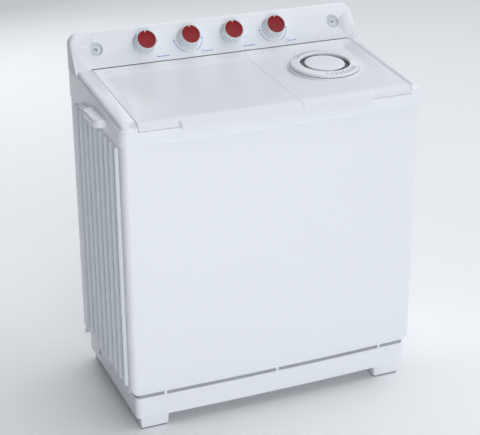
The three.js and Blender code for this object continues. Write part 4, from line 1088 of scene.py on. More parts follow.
def rim_block(inner, outer):
    """A slanted bar beside the lids, from the front to the foot of the console."""
    front = FRONT - PROUD + 0.8 * MM
    low = SEAM - 4 * MM
    top_end = CONSOLE_FOOT - 0.5 * MM
    low_end = top_end - (lid_top(top_end) - low) / tan(FACE_TILT)
    points = []
    for x in (outer, inner):
        start = front - (0.9 * MM if x == inner else 0)
        points += [
            (x, start, low), (x, low_end, low), (x, top_end, lid_top(top_end)), (x, start, lid_top(start))
        ]
    faces = [(0, 1, 2, 3), (7, 6, 5, 4), (0, 3, 7, 4), (1, 5, 6, 2), (3, 2, 6, 7), (0, 4, 5, 1)]
    return points, faces


def rim_weight(outer, widest):
    """Bevel share of a rim's edges: its front roll, its upright corner, its outer edge, its inner edge."""
    size = shells()

    def weight_of(middle, heading):
        high = middle.z > SEAM + 2 * MM
        at_front = middle.y < FRONT + 6 * MM
        at_outer = abs(middle.x - outer) < 1 * MM
        if at_front and abs(heading.x) > 0.9 and high:
            return ROLL / widest
        if at_front and abs(heading.z) > 0.9 and at_outer:
            return 18 * MM / widest
        if abs(heading.y) > 0.9 and high:
            return (size.rim_edge if at_outer else 1.2 * MM) / widest
        return 0.0

    return weight_of


def make_rims():
    edge = RIM_HALF - 3 * MM
    for side, inner, outer in (("left", POCKET_LEFT, -edge), ("right", POCKET_RIGHT, edge)):
        piece = Stock().add(rim_block(inner, outer)).piece(f"frame_rim_{side}")
        weigh(piece, rim_weight(outer, ROLL))
        real(soften(piece, ROLL, 8, weighted=True))
        piece.data.set_sharp_from_angle(angle=radians(50))
        settle(piece, "white_shell")


def make_deck():
    """The deck under the lids with its two mouths, their drip rims, and the walls of the lid pocket."""
    front = FRONT - PROUD + 4 * MM
    rear = RIM_HIGH.y - 3 * MM
    left, right = POCKET_LEFT - 3 * MM, POCKET_RIGHT + 3 * MM
    bow = [(x, bowed(x, front, RIM_HALF)) for x in spread(left, right, 17)]
    wash = (TUB_LOW.x + 53 * MM, TUB_HIGH.x - 25 * MM, TUB_LOW.y + 19 * MM, TUB_HIGH.y - 45 * MM)
    mouth = rounded(*wash, 45 * MM, 8)
    spin_radius = (DRUM_HIGH.x - DRUM_LOW.x) / 2 - 38 * MM
    well = ring(spin_radius, 72, BASKET_X, BASKET_Y)
    behind = rounded(
        POCKET_LEFT + 4 * MM, POCKET_RIGHT - 4 * MM, CONSOLE_FOOT + 6 * MM, RIM_HIGH.y - 12 * MM, 4 * MM, 3
    )
    deck = Stock().add(plate([*bow, (right, rear), (left, rear)], [mouth, well, behind], DECK - 3 * MM, DECK))
    profile = [(0.0, -9.0), (0.0, 1.2), (0.5, 2.1), (1.6, 2.6), (3.2, 2.4), (4.4, 1.2), (5.2, -0.5)]
    rows = []
    for out, up in profile:
        grow = out * MM
        outline = rounded(wash[0] - grow, wash[1] + grow, wash[2] - grow, wash[3] + grow, 45 * MM + grow, 8)
        rows.append([(u, v, DECK + up * MM) for u, v in outline])
    deck.add(sheet(rows, loop=True))
    rows = [
        [(u, v, DECK + up * MM) for u, v in ring(spin_radius + out * MM, 72, BASKET_X, BASKET_Y)]
        for out, up in profile
    ]
    deck.add(sheet(rows, loop=True))
    settle(deck.piece("frame_deck", sharp=50), "white_shell")
    walls = Stock()
    for x in (POCKET_LEFT - 3 * MM, POCKET_RIGHT + 0.2 * MM):
        top_end = CONSOLE_FOOT - 1.5 * MM
        outline = [(FRONT + 2 * MM, DECK - 1 * MM), (rear, DECK - 1 * MM), (rear, CONSOLE_LOW.z - TOUCH)]
        outline += [
            (face_y(CONSOLE_LOW.z) - 1 * MM, CONSOLE_LOW.z - TOUCH), (top_end, lid_top(top_end) - 1.4 * MM)
        ]
        outline += [(FRONT + 24 * MM, lid_top(FRONT) - 2 * MM), (FRONT + 5 * MM, SEAM + 4 * MM)]
        walls.add(along_x(outline, x, x + 2.8 * MM))
    for body in ("wash", "spin"):
        low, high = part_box(f"hinge_rod_{body}")
        for x in (low.x, high.x - 8 * MM):
            ear = [(HINGE_Y - 9 * MM, DECK - 1 * MM), (HINGE_Y + 9 * MM, DECK - 1 * MM)]
            ear += bend(HINGE_Y, HINGE_Z, 7 * MM, 0, 180, 12)
            walls.add(along_x(ear, x, x + 8 * MM))
    settle(soften(walls.piece("pocket_walls"), 0.5 * MM, 2, angle=50), "white_shell")


# (height, inset) of a handle's outside and of the hollow under it, in millimetres
HANDLE_OUTSIDE = [(0, 4.5), (0, 3), (0.6, 0.9), (3, 0), (16, 0.3), (19.2, 1.2), (21, 3), (22, 6), (22, 12)]
HANDLE_HOLLOW = [(0, 4.5), (4, 5.4), (16.5, 6.5), (18, 9)]


def make_handles():
    """Pull handles: a deep ledge with rounded ends, hollow underneath."""
    for side, sign in (("left", -1), ("right", 1)):
        low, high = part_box(f"handle_{side}")
        root = min(abs(low.x), abs(high.x)) - 0.6 * MM
        half = (high.y - low.y) / 2
        middle = (high.y + low.y) / 2
        stock = Stock()
        for corner, steps in ((20 * MM, HANDLE_OUTSIDE), (16 * MM, HANDLE_HOLLOW)):
            rows = []
            for rise, inset in steps:
                far = max(abs(low.x), abs(high.x)) - inset * MM - corner
                end = half - inset * MM
                outline = bend(far, corner - end, corner, 270, 360, 8)
                outline += bend(far, end - corner, corner, 0, 90, 8)
                outline = [(root, -end), *outline, (root, end)]
                rows.append([(sign * u, middle + v, low.z + rise * MM) for u, v in outline])
            stock.add(capped(rows))
        settle(stock.piece(f"pull_handle_{side}", sharp=60), "white_shell", replaces=[f"handle_{side}"])


def make_side_details():
    """The two-peg hose hook and the round screw seat on the frame's left side."""
    low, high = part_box("hose_hook")
    middle = (low.z + high.z) / 2
    stock = Stock()
    leftward = Matrix.Rotation(-pi / 2, 4, "Y")
    reach = high.x - low.x
    for y in (low.y + 7 * MM, high.y - 7 * MM):
        dome = [(7 * MM, 0.0), (6 * MM, reach * 0.35), (6.4 * MM, reach * 0.7)]
        dome += [(6.4 * MM * cos(a), reach * 0.7 + reach * 0.3 * sin(a)) for a in spread(0.2, pi / 2, 6)]
        stock.add(
            turned([(0.0, -0.3 * MM), (7 * MM, -0.3 * MM), *dome], 24), at(high.x, y, middle) @ leftward
        )
    settle(stock.piece("hose_pegs"), "white_shell", replaces=["hose_hook"])
    seat = at(-RIM_HALF, FRONT + 49 * MM, PANEL_HEAD + 24 * MM) @ leftward
    ring_part = lathe([(3.4, -0.5), (6.4, -0.5), (6.2, 0.9), (5, 1.4), (3.4, 0.2)], 32, closed=True)
    stretched = seat @ Matrix.Diagonal((1.35, 0.9, 1, 1))
    settle(Stock().add(ring_part, stretched).piece("side_screw_seat"), "white_shell")
    settle(Stock().add(cross_head(3 * MM, 1 * MM), seat).piece("side_screw"), "motor_iron")


# ---- Lids ----

CRESCENT_LEFT = [
    (-207 * MM, 0.0), (-133 * MM, 19 * MM), (-46 * MM, 28 * MM), (94 * MM, 26 * MM), (123 * MM, 25 * MM)
]
CRESCENT_RIGHT = [
    (-207 * MM, 0.0),
    (-160 * MM, 22 * MM),
    (-100 * MM, 36 * MM),
    (0.0, 36 * MM),
    (76 * MM, 31 * MM),
    (123 * MM, 27 * MM),
]


def pan_drop(out, y, crescent):
    """How far a lid's pan lies below its rim plane, out metres in from the lid's outer edge."""
    size = shells()
    start = crescent[0][0]
    back = CONSOLE_FOOT - size.pan_rear
    depth = size.pan_depth * clamp((min(y, back) - start) / (back - start))
    width = max(along(crescent, min(y, back)), 1 * MM)
    return depth * ramp(out / width) * ramp((CONSOLE_FOOT - 1.5 * MM - y) / size.pan_rear, 0.05)


def lid_columns(outer, split, crescent, y):
    """Places across a lid at a depth, close together where its crescent starts and ends."""
    inward = 1 if split > outer else -1
    width = max(along(crescent, min(y, CONSOLE_FOOT - shells().pan_rear)), 3 * MM)
    near = [0, 0.04, 0.1, 0.3, 0.5, 0.7, 0.88, 0.94, 1, 1.06, 1.14]
    inner = outer + inward * width * 1.3
    return [outer + inward * width * share for share in near] + spread(inner, split, 34)


def lip_share(x):
    """1 along the finger lip, 0 beyond its slanting ends."""
    start, stop = POCKET_LEFT + 108 * MM, POCKET_RIGHT - 121 * MM
    return smooth((x - start) / (7 * MM)) * smooth((stop - x) / (7 * MM))


def lid_sheet(outer, split, crescent):
    size = shells()
    rear = CONSOLE_FOOT - 1.5 * MM
    shares = [0, 0.004, 0.015, 0.03, 0.05, 0.07, 0.082, 0.092, 0.104, *spread(0.13, 1, 30)]
    front = FRONT - PROUD
    lip_places = [POCKET_LEFT + 108 * MM, POCKET_RIGHT - 121 * MM]
    extra = [p + d * MM for p in lip_places for d in (-8, -6, -4, -2, 0, 2, 4, 6, 8)]
    rows = []
    last = []
    for share in shares:
        rough_y = rear + (front + ROLL - rear) * share
        across = lid_columns(outer, split, crescent, rough_y)
        across += [x for x in extra if min(outer, split) < x < max(outer, split) and abs(x - outer) > 60 * MM]
        across.sort()
        row = []
        for x in across:
            y = rear + (bowed(x, front, RIM_HALF) + ROLL - rear) * share
            row.append((x, y, lid_top(y) - pan_drop(abs(x - outer), y, crescent)))
        rows.append(row)
        last = across
    for angle in spread(0, pi / 2, 11)[1:]:
        row = []
        for x in last:
            face = bowed(x, front, RIM_HALF)
            flare = size.lip_flare * lip_share(x) * smooth(sin(angle) ** 2)
            y = face + ROLL - ROLL * sin(angle) - flare
            top = lid_top(face + ROLL)
            row.append((x, y, top - (top - SEAM - 3 * MM) * (1 - cos(angle))))
        rows.append(row)
    for step in (0.35, 0.8, 1.0):
        row = []
        for x in last:
            face = bowed(x, front, RIM_HALF)
            start = SEAM + 3 * MM
            end = SEAM + 1.2 * MM - lip_share(x) * size.lip_drop
            row.append((x, face - size.lip_flare * lip_share(x), start + (end - start) * step))
        rows.append(row)
    return sheet(rows)


def make_lid(name, outer, split, crescent, body, replaces, holes=()):
    piece = Stock().add(lid_sheet(outer, split, crescent)).piece(
        name, sharp=60, solid=False, facing=(0, -0.3, 1)
    )
    real(thicken(piece, 2.6 * MM))
    if holes:
        carve(piece, *holes)
    soften(piece, 0.7 * MM, 2, angle=62)
    return settle(piece, "lid_plastic", body, replaces)


def lid_underside(name, outer, split, rod, body, crescent):
    """Border ribs, cross ribs and hinge barrels under a lid."""
    stock = Stock()
    inward = 1 if split > outer else -1
    front = FRONT - PROUD + ROLL + 4 * MM
    rear = CONSOLE_FOOT - 6 * MM

    def below(x, y):
        return lid_top(y) - pan_drop(abs(x - outer), y, crescent) - 1.4 * MM

    def rib_back(x, thickness, y0, y1, drop):
        tops = [(y, below(x, y)) for y in spread(y0, y1, 14)]
        bottoms = [
            (
                y,
                min(
                    below(x, y), lid_top(y) - 2.6 * MM
                ) - drop * smooth((y1 - 18 * MM - y) / (12 * MM)) - 0.6 * MM,
            )
            for y, _ in reversed(tops)
        ]
        stock.add(along_x([*bottoms[::-1], *tops[::-1]], x, x + thickness))

    rib_back(outer if inward > 0 else outer - 2.4 * MM, 2.4 * MM, front, rear, 11 * MM)
    rib_back(split - 2.4 * MM if inward > 0 else split, 2.4 * MM, front, rear, 11 * MM)
    low, high = min(outer, split) + 3 * MM, max(outer, split) - 3 * MM
    for y in spread(front + 14 * MM, HINGE_Y - 22 * MM, 4):
        places = spread(low, high, 25)
        tops = [(x, below(x, y)) for x in places]
        bottoms = [(x, z - 5 * MM) for x, z in reversed(tops)]
        if body == "wash_lid" or y < -140 * MM:
            stock.add(along_y([*tops, *bottoms], y, y + 2 * MM))
    rod_low, rod_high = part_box(rod)
    for x in (rod_low.x + 9 * MM, rod_high.x - 39 * MM):
        barrel = []
        for radius in (7 * MM, 2.8 * MM):
            barrel.append(
                [
                    [
                        (x0, HINGE_Y + radius * cos(a), HINGE_Z + radius * sin(a))
                        for a in spread(0, TURN, 25)[:-1]
                    ]
                    for x0 in (x, x + 30 * MM)
                ]
            )
        outer_rows, inner_rows = barrel
        stock.add(sheet([*outer_rows, inner_rows[1], inner_rows[0], outer_rows[0]], loop=True))
        top = below(x, HINGE_Y) + 0.6 * MM
        for web in spread(x + 1 * MM, x + 27 * MM, 4):
            stock.add(block(web, web + 2 * MM, HINGE_Y - 5 * MM, HINGE_Y + 5 * MM, HINGE_Z + 4.4 * MM, top))
    settle(stock.piece(name, sharp=40), "lid_plastic", body)


def make_lids():
    left, right = POCKET_LEFT + 0.8 * MM, POCKET_RIGHT - 0.8 * MM
    make_lid("wash_lid_shell", left, SPLIT - LID_GAP, CRESCENT_LEFT, "wash_lid", ["wash_lid"])
    lid_underside("wash_lid_ribs", left, SPLIT - LID_GAP, "hinge_rod_wash", "wash_lid", CRESCENT_LEFT)
    hole = Stock().add(turned([(0.0, -0.03), (0.090, -0.03), (0.090, 0.03), (0.0, 0.03)], 96), LID_PLANE)
    make_lid("spin_lid_shell", right, SPLIT + LID_GAP, CRESCENT_RIGHT, "spin_lid", ["spin_lid"], [hole])
    lid_underside("spin_lid_ribs", right, SPLIT + LID_GAP, "hinge_rod_spin", "spin_lid", CRESCENT_RIGHT)


# ---- Vent ----


def polar(profile_at, steps=180):
    """A closed ring whose (radius, height) outline changes with the angle."""
    angles = spread(0, TURN, steps + 1)[:-1]
    sections = [profile_at(degrees(a)) for a in angles]
    rows = []
    for i in range(len(sections[0])):
        rows.append([(s[i][0] * cos(a), s[i][0] * sin(a), s[i][1]) for s, a in zip(sections, angles)])
    return sheet([*rows, rows[0]], loop=True)


def finned(angle):
    """True within the two finned stretches of the dial, front and back."""
    return 246 <= angle <= 324 or 62 <= angle <= 140


def dial_outline(angle):
    sunk = 2.6 if finned(angle) else 0.0
    points = [
        (70, 2.5), (98, 0.4), (98.2, 2.5), (97.6, 5), (96, 7.2), (93.4, 8.3), (92.6, 8.4 - sunk),
        (77.5, 9.8 - sunk),
    ]
    points += [(76.8, 10), (74, 10.4), (71, 9.6), (70, 8)]
    return [(radius * MM, height * MM) for radius, height in points]


def make_vent():
    """The boss on the spin lid, the dial that turns on it, and the fixed grille inside."""
    boss = [
        (104, -12), (103, -1.6), (102.2, -0.6), (101, -0.2), (99.4, -0.5), (98.8, -1.1), (83, -1.1),
        (82.6, -3), (82.6, -6), (88, -6), (92, -13),
    ]
    stock = Stock().add(lathe(boss, 128, closed=True), LID_PLANE)
    settle(stock.piece("vent_boss", sharp=50), "lid_plastic", "spin_lid")
    dial = Stock().add(polar(dial_outline), LID_PLANE)
    for middle in (285, 101):
        for step in range(9):
            angle = radians(middle - 34 + step * 8.5)
            fin = prism(
                [(77 * MM, -0.8 * MM), (93 * MM, -0.8 * MM), (93 * MM, 0.8 * MM), (77 * MM, 0.8 * MM)],
                5 * MM,
                9.3 * MM,
            )
            dial.add(fin, LID_PLANE @ spun(angle))
    settle(
        soften(dial.piece("vent_dial_ring", sharp=45), 0.35 * MM, 2, angle=50),
        "lid_plastic",
        "vent_dial",
        ["vent_dial"],
    )
    pointer = prism([(66 * MM, 0.0), (73.5 * MM, -3 * MM), (73.5 * MM, 3 * MM)], 9.6 * MM, 10.9 * MM)
    turn = spun(radians(258))
    settle(
        soften(Stock().add(pointer, LID_PLANE @ turn).piece("vent_pointer"), 0.3 * MM, 2),
        "tub_plastic",
        "vent_dial",
    )
    cover = [
        (0.0, -8.4), (46, -8.4), (50, -6), (55.6, 3.2), (56.8, 5.2), (56.4, 6.8), (54.6, 7.7), (48, 8.1),
        (20, 8.6), (0.0, 8.7),
    ]
    settle(Stock().add(lathe(cover, 96), LID_PLANE).piece("vent_cap", sharp=50), "lid_plastic", "spin_lid")
    outline = [(76, -8.8), (81.6, -8.8), (81.6, 0.4), (80.8, 1.0), (77, 1.0), (76, 0)]
    grille = Stock().add(lathe(outline, 96, closed=True), LID_PLANE)
    for i in range(36):
        spoke = block(44 * MM, 77 * MM, -1 * MM, 1 * MM, -8 * MM, -4 * MM)
        grille.add(spoke, LID_PLANE @ spun(TURN * i / 36))
    for radius in (58, 67):
        hoop = [(radius - 1, -7.6), (radius + 1, -7.6), (radius + 1, -4.4), (radius - 1, -4.4)]
        grille.add(lathe(hoop, 96, closed=True), LID_PLANE)
    settle(grille.piece("vent_spokes"), "grey_plastic", "spin_lid", ["vent_grille"])


# ---- Console ----


def console_outline():
    """Front view of the console, legs and all."""
    low, high = CONSOLE_LOW.z, CONSOLE_HIGH.z
    corner = controls().console_corner
    inner = RIM_HALF - corner
    outline = [(-RIM_HALF, low), (POCKET_LEFT - 0.6 * MM, low), (POCKET_LEFT - 0.6 * MM, LID_REAR + 0.6 * MM)]
    outline += [(x, LID_REAR + 0.6 * MM) for x in spread(POCKET_LEFT, POCKET_RIGHT, 14)[1:-1]]
    outline += [
        (POCKET_RIGHT + 0.6 * MM, LID_REAR + 0.6 * MM), (POCKET_RIGHT + 0.6 * MM, low), (RIM_HALF, low)
    ]
    outline += bend(inner, high - corner, corner, 0, 90, 10)
    outline += bend(-inner, high - corner, corner, 90, 180, 10)
    return outline


def console_weight(widest):
    def weight_of(middle, heading):
        if abs(heading.y) > 0.9:
            return 0.0
        at_rear = middle.y > RIM_HIGH.y - 1 * MM
        at_face = abs(middle.y - face_y(middle.z)) < 1 * MM and not at_rear
        if at_rear:
            return 3 * MM / widest
        if not at_face:
            return 0.0
        at_end = abs(middle.x) > RIM_HALF - controls().console_corner + 1 * MM
        if middle.z < LID_REAR + 1 * MM and abs(middle.x) < RIM_HALF - 1 * MM:
            return 1.2 * MM / widest
        return (9 * MM if at_end else 4.5 * MM) / widest

    return weight_of


def make_console():
    outline = console_outline()
    rear = RIM_HIGH.y
    solid = between([(x, face_y(z), z) for x, z in outline], [(x, rear, z) for x, z in outline])
    piece = Stock().add(solid).piece("console_shell")
    widest = 9 * MM
    weigh(piece, console_weight(widest))
    real(soften(piece, widest, 5, weighted=True))
    edge = RIM_HALF - 6 * MM
    cavity = rounded(-edge, edge, CONSOLE_LOW.z - 30 * MM, CONSOLE_HIGH.z - 9 * MM, 24 * MM)
    shift = 3.2 * MM / sin(FACE_TILT)
    near = [(x, min(face_y(z) + shift + 1 * MM, rear - 6 * MM), z) for x, z in cavity]
    hollow = Stock().add(between(near, [(x, rear + 5 * MM, z) for x, z in cavity]))
    pits = Stock()
    wells = Stock()
    for side in ("left", "right"):
        place = on_face(recess_place(side))
        pit = [
            (0.0, -13.5), (17.6, -13.5), (18.6, -12.4), (19.6, -1.4), (20.6, -0.2), (21.4, 1.5), (0.0, 1.5)
        ]
        pits.add(lathe(pit, 64), place)
        well = [(5.7, -16), (20, -16), (22.6, -3), (22.6, -1.5), (21.6, -1.5), (18.8, -13.5), (5.7, -13.5)]
        wells.add(lathe(well, 64, closed=True), place)
        boss = [(6.2, -14), (10.2, -14), (9.4, -2.6), (8.6, -2), (7.0, -2), (6.2, -3)]
        wells.add(lathe(boss, 48, closed=True), place)
    holes = Stock()
    for name in KNOB_NAMES:
        hole = lathe([(0, -9), (6, -9), (6, 4), (0, 4)], 24)
        holes.add(hole, on_face(knob_place(name)))
    carve(piece, hollow, pits, holes)
    settle(piece, "white_shell", replaces=["console_housing"])
    settle(wells.piece("console_wells", sharp=45), "white_shell")
    for side in ("left", "right"):
        screw = Stock().add(cross_head(5.4 * MM, 3 * MM), on_face(recess_place(side), -12.5 * MM))
        settle(screw.piece(f"recess_screw_{side}"), "bright_steel", replaces=[f"console_screw_{side}"])
    make_console_back()


def make_console_back():
    """The closing plate at the back: louvres, screws, the water inlet and the cord gland."""
    low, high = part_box("console_back_cover")
    outline = [
        (low.x, low.z),
        (high.x, low.z),
        (high.x, high.z - 22 * MM),
        (high.x - 22 * MM, high.z),
        (low.x + 22 * MM, high.z),
        (low.x, high.z - 22 * MM),
    ]
    inlet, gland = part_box("water_inlet"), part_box("cord_gland")
    middle = (inlet[0].z + inlet[1].z) / 2
    inlet_x, gland_x = (inlet[0].x + inlet[1].x) / 2, (gland[0].x + gland[1].x) / 2
    holes = [ring(12.3 * MM, 32, inlet_x, middle), ring(9.3 * MM, 32, gland_x, middle)]
    for row in range(2):
        for column in range(9):
            x = -150 * MM + column * 36 * MM
            holes.append(capsule(x - 13 * MM, x + 13 * MM, middle - 6 * MM + row * 14 * MM, 2.4 * MM, 3))
    cover = Stock().add(upright(plate(outline, holes, low.y, high.y)))
    settle(
        soften(cover.piece("back_plate"), 0.4 * MM, 2, angle=60),
        "grey_plastic",
        replaces=["console_back_cover"],
    )
    screws = Stock()
    for x in (low.x + 14 * MM, -210 * MM, 210 * MM, high.x - 14 * MM):
        screws.add(cross_head(3.6 * MM, 2 * MM), at(x, high.y, low.z + 12 * MM) @ BACKWARD)
    settle(screws.piece("back_screws"), "bright_steel")
    thread = [(7.2, -12), (11.8, -12), (11.8, -1.8), (15.8, -1.8), (15.8, -0.2), (11, 0)]
    for i in range(4):
        thread += [(11, 0.4 + i * 1.2), (10.3, 0.9 + i * 1.2)]
    thread += [(10.4, 5.2), (7.2, 5.2)]
    rear = inlet[1].y - 5.5 * MM
    nozzle = Stock().add(lathe(thread, 48, closed=True), at(inlet_x, rear, middle) @ BACKWARD)
    settle(nozzle.piece("inlet_nozzle"), "white_shell", replaces=["water_inlet"])
    ribs = [(4.2, -11), (8.8, -11), (8.8, -1), (11.8, -0.8), (11.8, 0.8)]
    for i in range(3):
        ribs += [(9.4 - i, 1.2 + i * 1.2), (8.6 - i, 1.6 + i * 1.2)]
    ribs += [(6.2, 4.8), (4.2, 4.8)]
    sleeve = Stock().add(lathe(ribs, 40, closed=True), at(gland_x, gland[1].y - 5 * MM, middle) @ BACKWARD)
    settle(sleeve.piece("gland_sleeve"), "black_rubber", replaces=["cord_gland"])


# ---- Knobs and prints ----

KNOB_NAMES = ("wash_selector", "wash_timer", "drain_selector", "spin_timer")


def knob_place(name):
    return JOINTS[f"{name}_turn"]["pos_m"][0]


def recess_place(side):
    low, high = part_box(f"console_screw_{side}")
    return (low.x + high.x) / 2


def knob_skirt():
    """A hollow fluted skirt with a rolled upper rim."""
    size = controls()
    flutes = size.knob_flutes
    steps = flutes * 8
    high = size.knob_height
    outer = [
        (0, 0.0), (0.4, 0.0), (1.4, 0.35), (3, 1.0), (8, 1.0), (14, 1.0), (20, 1.0), (26, 1.0), (28.4, 0.6),
        (29.6, 0.15),
    ]
    rows = []
    for z, depth in outer:
        base = size.knob_radius - (size.knob_radius - 29 * MM) * z / 30
        row = []
        for i in range(steps):
            a = TURN * i / steps
            dip = 2.4 * MM * depth * (0.5 - 0.5 * cos(flutes * a)) ** 0.8
            row.append(((base - dip) * cos(a), (base - dip) * sin(a), 1 * MM + z * MM))
        rows.append(row)
    rim = [
        (29.0, 31.2), (28.7, 32.6), (28.0, 33.5), (27.2, 33.9), (26.4, 33.4), (26.2, 32.0), (20, 31.5),
        (20, 4),
    ]
    for radius, z in [*rim, (28, 3), (31, 1)]:
        place = high * z / 34 if z > 4 else z * MM
        rows.append(circle(radius * MM, place, steps))
    return sheet([*rows, rows[0]], loop=True)


def make_knobs():
    size = controls()
    for name in KNOB_NAMES:
        place = on_face(knob_place(name))
        body = f"{name}_knob"
        skirt = Stock().add(knob_skirt(), place)
        skirt.add(lathe([(0, -7), (4, -7), (4, 9), (0, 9)], 20), place)
        settle(skirt.piece(f"{name}_skirt", sharp=50), "knob_silver", body, [f"{name}_knob"])
        top = size.knob_height
        edge = size.cap_radius
        dome = [
            (0.0, top - 5 * MM),
            (edge, top - 5 * MM),
            (edge, top - 1.6 * MM),
            (edge - 0.3 * MM, top - 0.9 * MM),
            (edge - 1.2 * MM, top - 0.6 * MM),
        ]
        dome += [
            (edge - 2.4 * MM, top - 1.1 * MM),
            (edge * 0.6, top - 1.5 * MM),
            (edge * 0.3, top - 1.7 * MM),
            (0.0, top - 1.75 * MM),
        ]
        settle(Stock().add(turned(dome, 72), place).piece(f"{name}_cap", sharp=55), "knob_red", body)
        mark = prism(
            [
                (-1.3 * MM, edge - 5.5 * MM),
                (1.3 * MM, edge - 5.5 * MM),
                (1.6 * MM, edge + 1.4 * MM),
                (-1.6 * MM, edge + 1.4 * MM),
            ],
            top - 1.5 * MM,
            top - 0.05 * MM,
        )
        settle(soften(Stock().add(mark, place).piece(f"{name}_mark"), 0.3 * MM, 2), "tub_plastic", body)


INK = 0.12 * MM  # printed marks stand this far off the face


def arrow_arc(radius, start, stop, width):
    """A printed arc with an arrow head at its stop end. Angles in degrees, in the face."""
    angles = [radians(a) for a in spread(start, stop, 25)]
    rows = [[(r * cos(a), r * sin(a), INK) for a in angles] for r in (radius - width / 2, radius + width / 2)]
    ahead = radians(stop + copysign(7, stop - start))
    end = radians(stop)
    head = [(radius - 3.2 * MM, end), (radius + 3.2 * MM, end), (radius, ahead)]
    points, faces = sheet(rows)
    count = len(points)
    tips = [(r * cos(a), r * sin(a), INK) for r, a in head]
    return [*points, *tips], [*faces, (count, count + 1, count + 2)]


def dash(u, v, long, tall):
    return [(u, v, INK), (u + long, v, INK), (u + long, v + tall, INK), (u, v + tall, INK)], [(0, 1, 2, 3)]


def make_prints():
    """Blue arrows and minute marks around the timers, and plain bars beside every knob."""
    size = controls()
    for name in KNOB_NAMES:
        stock = Stock()
        timer = name.endswith("timer")
        place = on_face(knob_place(name))
        if timer:
            for start, stop in ((244, 186), (296, 354)):
                stock.add(arrow_arc(size.arrow_radius, start, stop, 1.7 * MM), place)
            marks = [(angle, (-0.5, -1.6, 1, 3.2)) for angle in (172, 8)]
            marks += [(angle, (-0.4, -1.4, 0.8, 2.4)) for angle in (252, 264, 276, 288)]
            for angle, mark in marks:
                a = radians(angle)
                spot = at(size.arrow_radius * cos(a), size.arrow_radius * sin(a)) @ spun(a + pi / 2)
                stock.add(dash(*(measure * MM for measure in mark)), place @ spot)
            loop = [
                [(r * cos(a), r * sin(a), INK) for a in spread(0, TURN, 25)] for r in (4.2 * MM, 5.2 * MM)
            ]
            stock.add(sheet(loop), place @ at(36 * MM, -43 * MM))
            bars = [(43, 7), (52, 4), (57.5, 8)]
        else:
            for v in (-13, -19):
                stock.add(dash(38.5 * MM, v * MM, 3.2 * MM, 0.9 * MM), place)
                stock.add(dash(43.5 * MM, (v - 1.6) * MM, 2.4 * MM, 0.9 * MM), place)
            stock.add(arrow_arc(size.arrow_radius - 2 * MM, -8, 4, 0.9 * MM), place)
            bars = [(30, 9), (40.5, 5), (47, 12), (60.5, 5)]
        for u, long in bars:
            stock.add(dash(u * MM, -44.8 * MM, long * MM, 2.7 * MM), place)
        settle(
            stock.piece(f"{name}_print", solid=False, facing=FACE.to_3x3() @ Vector((0, 0, 1))), "print_blue"
        )


# ---- Wash tub, pulsator and lint filter ----


def tub_loop(inset, corner):
    """One level of the wash tub: a rounded rectangle, with points spread evenly."""
    return inside(TUB_LOW, TUB_HIGH, inset, corner, 12)


def make_wash_tub():
    """The one-piece tub: rolled rim, rounded corners, filleted floor and the pulsator's round seat."""
    low, high = TUB_LOW, TUB_HIGH
    wall = 8 * MM
    corner = 70 * MM
    rows = []

    def level(z, inset, radius):
        rows.append([(u, v, z) for u, v in tub_loop(inset, radius)])

    for z, inset in (
        (high.z - 6 * MM, 0.4 * MM), (high.z - 1 * MM, 0.4 * MM), (high.z, 1.4 * MM), (high.z, 4.6 * MM)
    ):
        level(z, inset, corner - inset)
    for drop, inset in ((0.8, 5.8), (3, 6.2), (60, 6.2), (258, 6.2), (330, 9), (410, 12)):
        level(high.z - drop * MM, inset * MM, corner - inset * MM)
    floor = low.z + wall + 2 * MM
    fillet = 20 * MM
    for angle in spread(0, 90, 9):
        a = radians(angle)
        inset = 13 * MM + fillet * (1 - cos(a))
        level(floor + fillet * (1 - sin(a)), inset, 56 * MM - fillet * (1 - cos(a)) * 0.4)
    seat = 149 * MM
    around = tub_loop(13 * MM + fillet, 48 * MM)
    for share in (0.35, 0.7, 1.0):
        row = []
        for u, v in around:
            angle = atan2(v - PULSATOR_Y, u - PULSATOR_X)
            target = (PULSATOR_X + seat * cos(angle), PULSATOR_Y + seat * sin(angle))
            row.append((u + (target[0] - u) * share, v + (target[1] - v) * share, floor))
        rows.append(row)
    angles = [atan2(v - PULSATOR_Y, u - PULSATOR_X) for u, v in around]
    for radius, drop in ((148, 0.6), (147, 1.5), (40, 1.7), (21, 1.8), (19, 1.8), (18, 6)):
        rows.append(
            [
                (PULSATOR_X + radius * MM * cos(a), PULSATOR_Y + radius * MM * sin(a), floor - drop * MM)
                for a in angles
            ]
        )
    stock = Stock().add(sheet(rows, loop=True))
    piece = stock.piece("wash_tub_shell", sharp=50, solid=False, facing=(0, 0, 1))
    settle(thicken(piece, 3 * MM), "tub_plastic", replaces=["wash_tub"])
    details = Stock()
    half, near, far = 1.6 * MM, 6.4 * MM, 9.8 * MM  # half width, back and face of a rib, from the wall
    heights = (high.z - 300 * MM, high.z - 60 * MM)
    for i in range(9):
        x = low.x + 90 * MM + i * 33 * MM
        details.add(block(x - half, x + half, low.y + near, low.y + far, *heights))
    for i in range(6):
        y = low.y + 90 * MM + i * 38 * MM
        details.add(block(low.x + near, low.x + far, y - half, y + half, *heights))
    settle(soften(details.piece("wash_tub_ribs"), 1 * MM, 3), "tub_plastic")
    middle_x, middle_y = 20 * MM, 103 * MM  # the strainer's place on the floor
    strainer = ring(18 * MM, 40, middle_x, middle_y)
    holes = [ring(1.6 * MM, 10, middle_x, middle_y)]
    for count, radius in ((6, 5.4 * MM), (12, 10 * MM), (18, 14.4 * MM)):
        for i in range(count):
            a = TURN * i / count
            holes.append(ring(1.4 * MM, 8, middle_x + radius * cos(a), middle_y + radius * sin(a)))
    grid = Stock().add(plate(strainer, holes, floor + 0.6 * MM, floor + 3 * MM))
    settle(grid.piece("tub_strainer"), "grey_plastic")


